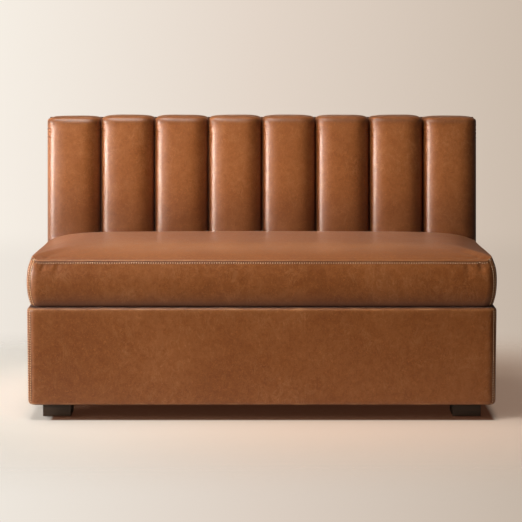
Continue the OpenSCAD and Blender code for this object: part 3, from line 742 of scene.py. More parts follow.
def stitch_row(path, outward, cover):
    """A row of slanted stitches that lie on a cover, along a path."""
    tones = bpy.context.scene.banquette_leather
    only(None)
    bpy.ops.mesh.primitive_uv_sphere_add(segments=6, ring_count=5, radius=1)
    model = bpy.context.object
    p = points_of(model)[:, [2, 0, 1]]
    p[:, 0] = np.sign(p[:, 0]) * np.abs(p[:, 0]) ** 0.8
    raised = tones.thread * (0.75 - 1.1 * p[:, 0] ** 2)
    put_points(model, np.stack([p[:, 0] * tones.stitch_length / 2, p[:, 1] * tones.thread * 1.15,
                                p[:, 2] * tones.thread + raised], 1))
    places = []
    for k, (point, forward) in enumerate(zip(*along(path, tones.stitch_pitch))):
        _, spot, normal, _ = cover.closest_point_on_mesh(Vector(point + 0.004 * outward))
        up = unit(normal)
        forward = unit(forward - up * np.dot(forward, up))
        lean = 0.42 + 0.07 * math.sin(2.4 * k)
        across = np.cross(up, forward)
        forward, across = unit(forward + lean * across), unit(across - lean * forward)
        places.append((np.array(spot), forward, across, up))
    return repeated("row", model, places)


def corner_rows(corners, radius, x, y, z, covers):
    """Rows of stitches on both sides of upright corner seams. The corners are given by their signs,
    and their middles by x and y at each height z."""
    rows = []
    for sx, sy in corners:
        for turn in (-1, 1):
            angle = math.pi / 4 + turn * STITCH_ROW / radius
            out = np.array([sx * math.cos(angle), sy * math.sin(angle), 0])
            path = np.stack([sx * x + out[0] * radius, sy * y + out[1] * radius, z], 1)
            if abs(out[0]) > abs(out[1]):
                which = "right" if sx > 0 else "left"
            else:
                which = "rear" if sy > 0 else "front"
            rows.append(stitch_row(path, out, bpy.data.objects[covers + which]))
    return rows


def joined(first, *others, name):
    only(first)
    for other in others:
        other.select_set(True)
    bpy.ops.object.join()
    first.name = first.data.name = name
    return first


# ---- base ----

SIDES = ("front", "right", "rear", "left")


def edge_loop(xs, ys):
    """The edge of a net from its front left corner round to where it began, as shares of its half
    sizes, and the side that each of its cells is on."""
    u, v = 2 * xs / xs[-1] - 1, 2 * ys / ys[-1] - 1
    front = [(a, -1.0) for a in u[:-1]]
    right = [(1.0, b) for b in v[:-1]]
    rear = [(a, 1.0) for a in u[:0:-1]]
    left = [(-1.0, b) for b in v[:0:-1]]
    side = [0] * len(front) + [1] * len(right) + [2] * len(rear) + [3] * len(left)
    return np.array(front + right + rear + left + front[:1]), np.array(side)


def base_profile(hem, edge):
    """Inset and height of the plinth's leather, from the hem on top round to the hem below."""
    arc = [(edge * (1 - math.sin(a)), edge * (1 - math.cos(a)))
           for a in np.linspace(0, math.pi / 2, 6)]
    top = [(hem, 0.0), (hem * 0.6 + edge * 0.4, 0.0)] + arc
    wall = [(0.0, edge + (BASE_HIGH - BASE_LOW - 2 * edge) * k / 14) for k in range(1, 14)]
    rows = [(inset, BASE_HIGH - down) for inset, down in top + wall]
    return np.array(rows + [(inset, BASE_LOW + up) for inset, up in reversed(top)])


def base_wave(x, y, z):
    """Slight unevenness of leather that is pulled over a padded panel."""
    return (np.sin(9.1 * x + 3.7 * z + 1.0) * np.sin(17.0 * z + 2.3 * x) * 0.5
            + 0.32 * np.sin(23.0 * x + 11 * y + 31 * z)
            + 0.22 * np.sin(47 * x - 38 * y + 19 * z + 0.6))


class BANQUETTE_OT_base(bpy.types.Operator):
    """Covers the plinth in four leather panels with sewn corners, over its padding"""
    bl_idname = "banquette.base"
    bl_label = "Base covers"

    def execute(self, context):
        sizes, hide = context.scene.banquette_base, context.scene.banquette_leather
        steps = SEAM_STEPS[:8] + (0.016, 0.022, 0.032)
        pitch = 0.026
        loop, side = edge_loop(spread(2 * HALF_W, steps, steps, pitch),
                               spread(2 * HALF_D, steps, steps, pitch))
        rows = base_profile(sizes.hem, sizes.edge)
        form, column, row = new_grid("base_form", len(loop) - 1, len(rows) - 1)
        self.shape(form, loop[column], rows[row], sizes)
        # The side of each cell is written down before the net is closed
        give_sides(form, [side[min(column[v] for v in p.vertices)] for p in form.data.polygons])
        weld(form)
        faces = sides_of(form)
        for k, which in enumerate(SIDES):
            panel = cut_out(form, faces == k, f"base_cover_{which}")
            refine(panel, hide.thickness)
            place(panel, finish("leather"), "leather", f"base_leather_{which}")
        z = np.linspace(BASE_LOW + 0.008, BASE_HIGH - 0.008, 40)
        middle_x, middle_y = (np.full_like(z, half - sizes.corner) for half in (HALF_W, HALF_D))
        corners = [(sx, sy) for sx in (-1, 1) for sy in (-1, 1)]
        stitches = corner_rows(corners, sizes.corner, middle_x, middle_y, z, "base_cover_")
        place(joined(*stitches, name="base_corner_stitching"), finish("thread"), "leather")
        self.pad(sizes)
        remove(form)
        return {"FINISHED"}

    @staticmethod
    def shape(form, edge, profile, sizes):
        """Wraps the net round the plinth, and marks its dark seams, painted shade where it turns
        under the seat, and its edges, paler with wear and with a painted highlight.
        """
        inset, z = profile[:, 0], profile[:, 1]
        half_x, half_y = HALF_W - inset, HALF_D - inset
        corner = np.maximum(0.003, sizes.corner - inset)
        x, y, out_x, out_y, far = rounded(edge[:, 0] * half_x, edge[:, 1] * half_y,
                                          half_x, -half_y, half_y, corner)
        wall = np.clip(1 - inset / 0.004, 0, 1)
        to_edge = np.minimum(z - BASE_LOW, BASE_HIGH - z)
        loose = np.clip(to_edge / 0.05, 0, 1) * np.clip(far / 0.05, 0, 1)
        out = sizes.wave * base_wave(x, y, z) * loose + seam_roll(far) * wall * 0.9
        run = np.where(np.abs(out_y) > 0.5, x, y)
        out += 0.0005 * ripple(run, 2.0) * near(to_edge, 0.018, 0.012) * wall
        out = np.minimum(out, 0.0012) - 0.0005 * wall
        put_points(form, np.stack([x + out_x * out, y + out_y * out, z], 1))
        # Dark seams, and painted shade on the leather that turns over the top under the seat
        turned = np.clip((inset - 0.0025) / 0.004, 0, 1)
        give_attribute(form, "crease", np.maximum(seam_dark(far) * wall, turned))
        # Top and bottom edges paler with wear and with a painted highlight
        edge_wear_and_highlight = bell(to_edge, 0.0035, 0.004) * (0.45 + 0.55 * ripple(x + y, 4.0) ** 2)
        # A painted highlight along the top edge only
        wear_and_highlight = 0.2 * fade(np.maximum(BASE_HIGH - z, 0), 0.016) * wall
        pale = seam_pale(far) * 0.6 * wall + 0.55 * edge_wear_and_highlight + wear_and_highlight
        give_attribute(form, "crest", np.clip(pale, 0, 1))

    @staticmethod
    def pad(sizes):
        """Foam between the leather and the plywood: a ring with a flat inner wall."""
        low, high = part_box("base_padding")
        skin = 0.0026
        inner = HALF_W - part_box("base_front_panel")[1].x - 0.0004
        edge = sizes.edge - skin
        arc = [(skin + edge * (1 - math.sin(a)), edge * (1 - math.cos(a)))
               for a in np.linspace(0, math.pi / 2, 5)]
        top = [(inner, 0.0)] + arc
        rows = [(inset, high.z - down) for inset, down in top]
        rows += [(inset, low.z + up) for inset, up in reversed(top)]
        rows = np.array(rows + [(inner, high.z)])
        steps = (0, 0.004, 0.009, 0.016, 0.03)
        loop, _ = edge_loop(spread(2 * HALF_W, steps, steps, 0.06),
                            spread(2 * HALF_D, steps, steps, 0.06))
        ring, column, row = new_grid("base_padding_wrap", len(loop) - 1, len(rows) - 1)
        inset, z = rows[row, 0], rows[row, 1]
        half_x, half_y = HALF_W - inset, HALF_D - inset
        corner = np.where(inset > inner - 1e-6, 0.0006, np.maximum(0.003, sizes.corner - inset))
        x, y, *_ = rounded(loop[column, 0] * half_x, loop[column, 1] * half_y,
                           half_x, -half_y, half_y, corner)
        put_points(ring, np.stack([x, y, z], 1))
        weld(ring)
        refine(ring, levels=0, sharp=40)
        place(ring, finish("foam"), "foam", "base_padding")


class BANQUETTE_OT_feet(bpy.types.Operator):
    """Turns the frame's foot blocks into blocks with rounded edges"""
    bl_idname = "banquette.feet"
    bl_label = "Feet"

    def execute(self, context):
        bevel = context.scene.banquette_base.foot_bevel
        for where in ("front_left", "front_right", "rear_left", "rear_right"):
            foot = copy_of(frame["nodes"][f"foot_{where}"], f"foot_block_{where}")
            for key in [k for k in foot.keys() if k.startswith("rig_")]:
                del foot[key]
            foot.parent = None
            weld(foot, outward=False)
            with editing(foot):
                bpy.ops.mesh.dissolve_limited(angle_limit=math.radians(1))
            self.choose_edges(foot)
            bpy.ops.mesh.bevel(offset=bevel, segments=4, affect="EDGES")
            bpy.ops.object.mode_set(mode="OBJECT")
            refine(foot, levels=0, sharp=40)
            place(foot, finish("foot"), "foot_wood", f"foot_{where}")
        return {"FINISHED"}

    @staticmethod
    def choose_edges(foot):
        """Selects the twelve outer edges of the block, and enters edit mode."""
        only(foot)
        points = points_of(foot)
        low, high = np.min(points, 0), np.max(points, 0)
        on = (np.abs(points - low) < 1e-5) | (np.abs(points - high) < 1e-5)
        corner = on.all(axis=1)
        for item in (*foot.data.vertices, *foot.data.edges, *foot.data.polygons):
            item.select = False
        for e in foot.data.edges:
            e.select = bool(corner[e.vertices[0]] and corner[e.vertices[1]])
        bpy.ops.object.mode_set(mode="EDIT")
        bpy.ops.mesh.select_mode(type="EDGE")


class BANQUETTE_OT_dust_cover(bpy.types.Operator):
    """Stretches the dust cover under the plinth and staples it"""
    bl_idname = "banquette.dust_cover"
    bl_label = "Dust cover"

    def execute(self, context):
        sizes = context.scene.banquette_base
        _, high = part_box("dust_cover")
        cells_x, cells_y = 96, 46
        cover, column, row = new_grid("dust_cover_cloth", cells_x, cells_y)
        x, y = (2 * column / cells_x - 1) * high.x, (2 * row / cells_y - 1) * high.y
        from_x, from_y = high.x - np.abs(x), high.y - np.abs(y)
        edge = np.minimum(from_x, from_y)
        swing = 0.75 + 0.25 * np.sin(7 * x + 1) * np.sin(9 * y)
        drop = sizes.sag * (1 - fade(edge, 0.06)) * swing
        run = np.where(from_x > from_y, x, y)
        pull = 0.0007 * waves(run, sizes.staple_pitch) * fade(edge, 0.03)
        put_points(cover, np.stack([x, y, high.z - 0.0003 - drop - np.abs(pull)], 1))
        refine(cover, 0.0004, levels=0, sharp=60)
        place(cover, finish("lining"), "lining_cloth", "dust_cover")
        self.staple(high, sizes.staple_pitch)
        return {"FINISHED"}

    @staticmethod
    def staple(high, pitch):
        only(None)
        bpy.ops.mesh.primitive_cube_add(size=1)
        model = bpy.context.object
        put_points(model, points_of(model) * (0.0100, 0.0011, 0.0007))
        with editing(model):
            bpy.ops.mesh.bevel(offset=0.00025, segments=1, affect="EDGES")
        from_end, from_edge = 0.03, 0.006
        up = np.array([0, 0, 1.0])
        places = []
        for axis, length, other in ((0, high.x, high.y), (1, high.y, high.x)):
            half = length - from_end
            count = int(2 * half / pitch)
            for k in range(count + 1):
                for s in (-1, 1):
                    at, run = np.zeros(3), np.zeros(3)
                    at[axis], at[1 - axis] = 2 * half * k / count - half, s * (other - from_edge)
                    at[2] = high.z - 0.0012
                    lean = 0.5 + 0.3 * math.sin(3.1 * k + s)
                    run[axis], run[1 - axis] = math.cos(lean), math.sin(lean) * s
                    places.append((at, run, np.cross(up, run), up))
        place(repeated("dust_cover_staples", model, places), finish("steel"), "steel")


# ---- seat ----

def front_line(z, recline):
    """The channels' crests, as a Y for a height."""
    return CREST_Y + (z - BACK_LOW) * math.tan(recline)


def seat_rise(distance, short=0.030, long=0.095):
    """Share of the crown that a seat reaches at a distance from its seam."""
    return 1 - 0.446 * fade(distance, short) - 0.554 * fade(distance, long)


# Hollows at the seat's front corners: from the corner and from the seam, widths and depth
BORDER_SPOTS = ((0.022, 0.010, 0.006, 0.008, 0.0026), (0.036, 0.013, 0.0065, 0.011, 0.0042),
                (0.053, 0.010, 0.007, 0.008, 0.0030), (0.074, 0.016, 0.010, 0.014, 0.0024),
                (0.100, 0.012, 0.010, 0.010, 0.0014))
TOP_SPOTS = ((0.026, 0.013, 0.006, 0.006, 0.0026), (0.043, 0.022, 0.008, 0.008, 0.0034),
             (0.030, 0.036, 0.007, 0.008, 0.0024), (0.064, 0.015, 0.010, 0.006, 0.0022),
             (0.060, 0.042, 0.010, 0.010, 0.0018), (0.094, 0.020, 0.013, 0.007, 0.0015))


class BANQUETTE_OT_seat(bpy.types.Operator):
    """Makes the crowned seat: a top panel and four border panels, sewn together over the padding"""
    bl_idname = "banquette.seat"
    bl_label = "Seat covers"

    def execute(self, context):
        sizes, hide = context.scene.banquette_seat, context.scene.banquette_leather
        recline = context.scene.banquette_back.recline
        plan = SimpleNamespace(half_x=HALF_W - sizes.draw_top, front=sizes.draw_top - HALF_D,
                               back=self.back_of(SEAM_Z, sizes, recline), recline=recline)
        fine = SEAM_STEPS + tuple(0.0280 + 0.0055 * k for k in range(12))
        xs = spread(2 * plan.half_x, fine, fine, 0.0090)
        ys = spread(plan.back - plan.front, SEAM_STEPS, (0, 0.003, 0.008, 0.014), 0.0088)
        rows = self.border_rows(sizes)
        form, column, line, step = self.net(len(xs) - 1, len(ys) - 1, len(rows))
        v = self.measures(xs[column] - plan.half_x, ys[line] + plan.front, step, rows, sizes, plan)
        folds = dimples(v.from_x, v.from_front, TOP_SPOTS)
        hollows = dimples(v.far, v.below, BORDER_SPOTS) * v.seen * v.wall
        put_points(form, self.shape(v, sizes))
        dark, pale = self.marks(v, folds, hollows)
        give_attribute(form, "crease", dark)
        give_attribute(form, "crest", pale)
        with editing(form):
            bpy.ops.mesh.normals_make_consistent(inside=False)
        settle(form, self.firmness(v), sizes.give, 0.5, sizes.slack)
        drop = np.where(v.on_top, 0, hollows)
        pressed = np.stack([v.out_x * drop, v.out_y * drop, np.where(v.on_top, folds, 0)], 1)
        put_points(form, points_of(form) + pressed)
        self.pad(form)
        sides = sides_of(form)
        for k, which in enumerate(SIDES + ("top",)):
            name = "seat_top_panel" if which == "top" else f"seat_border_{which}"
            panel = cut_out(form, sides == k, name)
            refine(panel, hide.thickness)
            place(panel, finish("leather"), "leather", f"seat_leather_{which}")
        remove(form)
        rows = self.top_stitches(sizes, plan) + self.corner_stitches(sizes)
        place(joined(*rows, name="seat_stitching"), finish("thread"), "leather")
        return {"FINISHED"}

    def back_of(self, z, sizes, recline):
        """Where the seat meets the back at a height, as a Y."""
        return front_line(z, recline) - 0.0003 - 0.4 * self.draw(z, sizes)

    @staticmethod
    def border_rows(sizes):
        """Height and extra inset of the border's rows, from the seam down and under the seat."""
        fall = spread(SEAM_Z - SEAT_LOW - 0.006, SEAM_STEPS, (0.0,), 0.0085)
        rows = [(SEAM_Z - d, 0.0) for d in fall[1:]]
        rows += [(SEAT_LOW + 0.0034, 0.0009), (SEAT_LOW + 0.0016, 0.0026),
                 (SEAT_LOW + 0.0005, 0.0050), (SEAT_LOW, 0.0080)]
        under = sizes.hem - sizes.draw_bottom
        return np.array(rows + [(SEAT_LOW, 0.0080 + (under - 0.0080) * k / 3) for k in (1, 2, 3)])

    @staticmethod
    def net(columns, lines, steps, layer=0.01):
        """A flat grid whose edge is extruded downwards, one row after another, and the column, the
        line and the step down of each vertex."""
        form, _, _ = new_grid("seat_form", columns, lines)
        with editing(form):
            bpy.ops.mesh.region_to_loop()
            for _ in range(steps):
                bpy.ops.mesh.extrude_edges_move(TRANSFORM_OT_translate={"value": (0, 0, -layer)})
        x, y, z = vectors(form.data.polygons, "center").T
        border = np.argmax(np.stack([-y, x, y, -x]), axis=0)
        give_sides(form, np.where(z > -1e-6, len(SIDES), border))
        x, y, z = points_of(form).T
        column = np.rint((x + 0.5) * columns).astype(int)
        line = np.rint((y + 0.5) * lines).astype(int)
        return form, column, line, np.rint(-z / layer).astype(int)

    @staticmethod
    def draw(z, sizes):
        """How far the border draws in at a height."""
        up = np.clip((z - BULGE_Z) / (SEAM_Z - BULGE_Z), 0, 1)
        down = np.clip((BULGE_Z - z) / (BULGE_Z - BASE_HIGH), 0, 1)
        return sizes.draw_top * up ** 2.6 + sizes.draw_bottom * down ** 2

    def measures(self, x, y, step, rows, sizes, plan):
        """Each vertex on the plain form: its place, its outward direction on the border, and its
        distances from the seams."""
        on_top = step == 0
        level = np.maximum(step - 1, 0)
        z = np.where(on_top, SEAM_Z, rows[level, 0])
        turned = np.where(on_top, 0, rows[level, 1])
        drawn = self.draw(z, sizes) + turned
        half_x, y0 = HALF_W - drawn, drawn - HALF_D
        y1 = self.back_of(z, sizes, plan.recline) - turned
        u, v = x / plan.half_x, 2 * (y - plan.front) / (plan.back - plan.front) - 1
        px, py, out_x, out_y, far = rounded(u * half_x, (y0 + y1) / 2 + v * (y1 - y0) / 2,
                                            half_x, y0, y1, sizes.corner)
        from_x, from_front, from_back = plan.half_x - np.abs(x), y - plan.front, plan.back - y
        seam = np.minimum(np.minimum(from_x, from_front), from_back + 0.02)
        return SimpleNamespace(
            x=x, y=y, px=px, py=py, z=z, out_x=out_x, out_y=out_y, far=far, from_x=from_x,
            from_front=from_front, from_back=from_back, seam=seam, below=SEAM_Z - z, on_top=on_top,
            seen=out_y < 0.5, wall=(turned < 0.002).astype(float))

    def shape(self, v, sizes):
        """The seat before it settles: a crowned top, and a border that bulges."""
        # The seam rises round the front corners and sinks again along the ends
        peak = sizes.peak * ease((v.from_front - v.from_x) / (2 * sizes.corner) + 0.5)
        peak *= 1 - ease(v.from_front / 0.42)
        out = np.where(v.on_top, 0, self.border_swell(v, sizes))
        out -= 0.0015 * (v.on_top & (v.seam < 1e-6))
        low_z = v.z + peak * np.clip(1 - v.below / 0.11, 0, 1)
        top_z = self.top_height(v, sizes) + peak * fade(v.from_x, 0.07)
        return np.stack([v.px + v.out_x * out, v.py + v.out_y * out,
                         np.where(v.on_top, top_z, low_z)], 1)

    @staticmethod
    def top_height(v, sizes, power=2.2):
        """Height of the top: its crown, its rolled seam and the puckers beside it."""
        inside = (np.maximum(v.from_x, 1e-5) ** -power
                  + np.maximum(v.from_front, 1e-5) ** -power) ** (-1 / power)
        crown = seat_rise(inside) * (1 - fade(v.from_back, 0.008))
        rise = CROWN_Z + sizes.fullness - SEAM_Z - 0.0005
        lift = (ripple(v.x, 1.0) * near(v.from_front, 0.020)
                + ripple(v.y, 3.0 + np.sign(v.x)) * near(v.from_x, 0.020)
                + 1.6 * waves(v.x, PUCKER_PITCH) * near(v.from_front, 0.012) * fade(v.from_x, 0.12))
        lift *= 1 + 2.2 * fade(np.hypot(v.from_x, v.from_front), 0.06)
        seam = seam_roll(v.seam, 0.0016, NO_ROW)
        return SEAM_Z + rise * crown / 0.994 + seam + sizes.pucker * lift

    @staticmethod
    def border_swell(v, sizes):
        """How far the border stands out: its seams, its puckers and its unevenness."""
        across = np.abs(v.out_y) > 0.5
        run = np.where(across, v.px, v.py)
        lift = ripple(run, np.where(across, 5.0, 7.0)) * near(v.below, 0.020)
        lift *= 1 + 1.6 * fade(v.far, 0.05)
        lift += 1.2 * waves(run, PUCKER_PITCH, 0.8) * near(v.below, 0.009) * fade(v.far, 0.12)
        uneven = 0.0006 * base_wave(v.px * 1.3, v.py, v.z * 1.7) * np.clip(v.below / 0.04, 0, 1)
        return (seam_roll(v.below, 0.0, BORDER_ROW) + seam_roll(v.far) * v.seen * v.wall
                + sizes.pucker * lift + uneven * v.wall)

    @staticmethod
    def firmness(v):
        """How firmly the leather is held: by its seams, its hem and the side against the back."""
        seam_hold = np.clip(1.15 - np.where(v.on_top, v.seam, v.below) / 0.016, 0, 1)
        corner_hold = np.where(v.on_top, 0, np.clip(1.1 - v.far / 0.012, 0, 1))
        behind = np.where(v.on_top, v.from_back < 0.03, v.out_y > 0.5)
        low = ~v.on_top & (v.z < SEAT_LOW + 0.012)
        return np.round(np.where(behind | low, 1, np.maximum(seam_hold, corner_hold)) * 4) / 4

    @staticmethod
    def marks(v, folds, hollows):
        """How dark the leather is, at its seams and with painted shade, and how pale, with wear and
        with a painted highlight.
        """
        upright = np.where(v.seen, v.far, 1)
        # Dark seams on the top, and a painted shade along its front seam
        top_seam_and_shade = np.maximum(seam_dark(v.seam, NO_ROW), 0.16 * bell(v.from_front, 0.032))
        # A painted highlight over the seat's front, added to the pale rolled seam
        painted_highlight_zone = bell(v.from_front, 0.08, 0.13) * np.clip(v.from_x / 0.2, 0, 1)
        top_wear_and_highlight = 0.5 * seam_pale(v.seam) + 0.34 * painted_highlight_zone
        low_dark = np.maximum(seam_dark(v.below, BORDER_ROW), seam_dark(upright)) * v.wall
        # Painted shade, deepening towards the border's foot
        under = 0.95 * fade(np.maximum(v.z - SEAT_LOW, 0), 0.027)
        # Painted shade in the hollows and dimples at the front corners
        dark = np.where(v.on_top, np.maximum(top_seam_and_shade, -110 * folds),
                        np.maximum(low_dark, under) - 110 * hollows)
        pale = np.where(v.on_top, top_wear_and_highlight, seam_pale(upright) * v.wall)
        return np.clip(dark, 0, 1), np.clip(pale, 0, 1)

    @staticmethod
    def pad(form):
        """The foam core, which lies on the springs under the leather."""
        core = shrunk_copy(form, "seat_foam_core", 0.0045)
        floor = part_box("seat_insulator")[1].z + 0.0005
        with editing(core):
            bpy.ops.mesh.bisect(plane_co=(0, 0, floor), plane_no=(0, 0, 1), clear_inner=True,
                                use_fill=True)
        weld(core, 0.0012)
        refine(core, levels=0, sharp=50)
        place(core, finish("foam"), "foam", "seat_foam", "seat_fibre_wrap", "seat_insulator")

    @staticmethod
    def top_stitches(sizes, plan):
        """The row under the top seam, along the ends and the front."""
        radius, half_x, end = sizes.corner, plan.half_x, plan.back - 0.03
        turn = np.linspace(math.pi, 1.5 * math.pi, 14)
        left = np.stack([-half_x + radius + radius * np.cos(turn),
                         plan.front + radius + radius * np.sin(turn)], 1)
        line = np.concatenate([[(-half_x, end)], left, (left * (-1, 1))[::-1], [(half_x, end)]])
        line = np.column_stack([line, np.full(len(line), SEAM_Z - BORDER_ROW)])
        x = line[:, 0]
        split = half_x - radius * (1 - math.cos(math.pi / 4))
        parts = (("left", (-0.5, 0, 0), x < -split + 1e-4),
                 ("front", (0, -0.5, 0), np.abs(x) < split + 1e-4),
                 ("right", (0.5, 0, 0), x > split - 1e-4))
        return [stitch_row(line[chosen], np.array(out), bpy.data.objects[f"seat_border_{which}"])
                for which, out, chosen in parts]

    def corner_stitches(self, sizes):
        """The rows on both sides of the upright seams in front."""
        z = np.linspace(SEAM_Z - 0.011, SEAT_LOW + 0.007, 40)
        inset = self.draw(z, sizes) + sizes.corner
        return corner_rows(((-1, -1), (1, -1)), sizes.corner, HALF_W - inset, HALF_D - inset, z,
                           "seat_border_")


# ---- back ----

def channel_section(power, count, half=0.082, deep=0.062):
    """Even steps along half a section, from one foot over the crest to the other: share of the half
    width and share of the depth."""
    turn = np.linspace(0, math.pi, 2001)
    c, s = np.cos(turn), np.sin(turn)
    x = -np.sign(c) * np.abs(c) ** (2 / power)
    g = np.abs(s) ** (2 / power)
    far = np.concatenate([[0], np.cumsum(np.hypot(np.diff(x) * half, np.diff(g) * deep))])
    at = np.linspace(0, far[-1], count + 1)
    return np.interp(at, far, x), np.interp(at, far, g)


def over_the_top(x, g, run, power=4.2):
    """Share of the depth again, for a section that is squarer over the top of the channel."""
    square = np.maximum(0, 1 - np.abs(x) ** power) ** (1 / power)
    return np.where(g > 0, g + (square - g) * ease((run + 0.02) / 0.04), g)


def channel_path(sizes, top_z):
    """Stations up the front and over the top of a channel: foot and crest in Y and Z, and the
    distance along the crest from the top of the roll."""
    lean, r, rear_r, gap = sizes.recline, sizes.top_radius, sizes.rear_radius, 0.001
    thick = sizes.depth / math.cos(lean)
    middle_z = top_z - r
    middle_y = front_line(middle_z, lean) + r / math.cos(lean)
    corner_y = front_line(BOARD_HIGH, lean) + thick
    rear = CHANNEL_REAR - rear_r

    def roll(a):
        return (corner_y - gap * math.cos(a), BOARD_HIGH + gap * math.sin(a),
                middle_y - r * math.cos(a), middle_z + r * math.sin(a))

    crest_y = front_line(BACK_LOW, lean)
    low, high = np.array([crest_y + thick - gap, BACK_LOW, crest_y, BACK_LOW]), np.array(roll(lean))
    length = high[3] - low[3]
    below = np.concatenate([np.linspace(length, 0.075, 40, endpoint=False),
                            np.linspace(0.075, 0, 30, endpoint=False)])
    stations = [(*(low + (1 - d / length) * (high - low)), -d) for d in below]
    stations += [(*roll(a), r * (a - lean)) for a in np.linspace(lean, math.pi / 2, 13)]
    far = r * (math.pi / 2 - lean)
    flat = rear - middle_y
    for t in np.concatenate([np.linspace(0, 0.35, 11)[1:], np.linspace(0.35, 1, 8)[1:]]):
        stations.append((corner_y + t * (rear - corner_y), BOARD_HIGH + gap,
                         middle_y + t * flat, top_z, far + t * flat))
    for a in np.linspace(0, math.pi / 2, 6)[1:]:
        stations.append((rear + rear_r * 2 * a / math.pi, BOARD_HIGH + gap,
                         rear + rear_r * math.sin(a), top_z - rear_r + rear_r * math.cos(a),
                         far + flat + rear_r * a))
    return np.array(stations)


class BANQUETTE_OT_channels(bpy.types.Operator):
    """Sews and stuffs the upright channels of the back"""
    bl_idname = "banquette.channels"
    bl_label = "Back channels"

    def execute(self, context):
        sizes = context.scene.banquette_back
        cores = []
        for n in range(1, CHANNELS + 1):
            channel = self.channel(sizes, n)
            cores.append(shrunk_copy(channel, "core", 0.0055))
            refine(channel, sharp=70)
            place(channel, finish("leather"), "leather", f"back_channel_{n}")
        foam_piece = joined(*cores, name="back_foam_bolsters")
        refine(foam_piece, levels=0, sharp=50)
        place(foam_piece, finish("foam"), "foam", "back_foam_channels")
        return {"FINISHED"}

    def channel(self, sizes, n, backing=6, fullest=0.42):
        """One stuffed channel: backing is the number of cells across its flat back, and fullest the
        share of its height at which it stands out most."""
        low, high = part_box(f"back_channel_{n}")
        centre, half = (low.x + high.x) / 2, (high.x - low.x) / 2
        stations = channel_path(sizes, high.z - sizes.sink)
        across, depth = channel_section(sizes.squareness, 34)
        front = len(depth)
        across = np.concatenate([across, np.linspace(1, -1, backing + 1)[1:]])
        depth = np.concatenate([depth, np.zeros(backing)])
        form, column, row = new_grid(f"back_channel_cover_{n}", len(across) - 1, len(stations) - 1)
        foot, crest, run = stations[row, 0:2], stations[row, 2:4], stations[row, 4]
        crest_y, crest_z = crest.T
        deep = np.linalg.norm(crest - foot, axis=1)
        direction = (crest - foot) / deep[:, None]
        skin = column < front
        x = across[column]
        g = over_the_top(x, depth[column], run)
        slope = np.abs(x) ** (sizes.squareness - 1) * np.sign(x) * deep
        lean_x = slope / np.maximum(np.hypot(slope, np.maximum(g, 0.05) ** 3 * half), 1e-9)
        lean_g = np.sqrt(np.maximum(0, 1 - lean_x ** 2))

        # The channel stands out most at one height, and falls back above and below it
        above = (crest_z - CROWN_Z) / (high.z - CROWN_Z) - fullest
        bowed = np.where(above > 0, np.minimum(above / (1 - fullest), 1) ** 2,
                         0.45 * np.minimum(-above / fullest, 1) ** 2)
        bowed = sizes.bow * bowed * np.clip(1 - run / 0.030, 0, 1)
        give = 0.5 * sizes.give
        move = -(give + bowed) * skin * np.clip(g * 1.6 - 0.5, 0, 1)
        plain = np.column_stack([centre + half * x + move * lean_x,
                                 foot + (g * deep + move * lean_g)[:, None] * direction])
        put_points(form, plain)

        # Gathers beside the seams near the top, and a slight unevenness over the crest
        seed = 1.7 * n + np.sign(x)
        gathers = (waves(run, 0.0078, 2 * seed) + 0.5 * waves(run, 0.0123, 5 * seed)) / 1.4
        shoulder = np.clip((np.abs(x) - 0.78) / 0.14, 0, 1) * np.clip(g / 0.3, 0, 1) * skin
        shoulder *= bell(run, 0.030, -0.020) + 0.05
        soft = 0.0006 * waves(run, 0.11, 3 * seed) * np.sin(2.2 * x + n)
        out = sizes.pucker * gathers * shoulder + soft * skin * np.clip(g - 0.6, 0, 0.4) * 2.5
        puckers = out[:, None] * np.column_stack([lean_x, lean_g[:, None] * direction])

        # Painted shade in the grooves, towards the seat, over the top roll and between the gathers
        groove = (x < 0) & (n > 1) | (x > 0) & (n < CHANNELS)
        groove = 0.75 * np.clip((0.45 - g) / 0.35, 0, 1) * groove
        dim = 0.50 / (1 + (np.maximum(crest_z - CROWN_Z, 0) / 0.120) ** 3)
        dim += 0.50 * bell(run, 0.014, 0.018) * np.clip(g / 0.5, 0, 1)
        dim += 0.35 * np.clip(-gathers, 0, 1) * shoulder
        give_attribute(form, "crease", np.maximum(groove, dim) * skin)
        give_attribute(form, "crest", np.clip((g - 0.90) / 0.10, 0, 1) * 0.14 * skin)

        rear = (run > 0) & (crest_y > CHANNEL_REAR - 0.016)
        held = ~skin | (g <= 0.35) | (crest_z < CROWN_Z - 0.02) | rear
        weld(form)
        # The vertices were merged, so each is looked up again by its place
        which = self.nearest(form, plain)
        settle(form, held[which].astype(float), sizes.give, 0.4, sizes.slack)
        put_points(form, points_of(form) + puckers[which])
        close_holes(form)
        return form

    @staticmethod
    def nearest(form, places):
        tree = KDTree(len(places))
        for k, p in enumerate(places):
            tree.insert(p, k)
        tree.balance()
        return np.array([tree.find(p)[1] for p in points_of(form)])


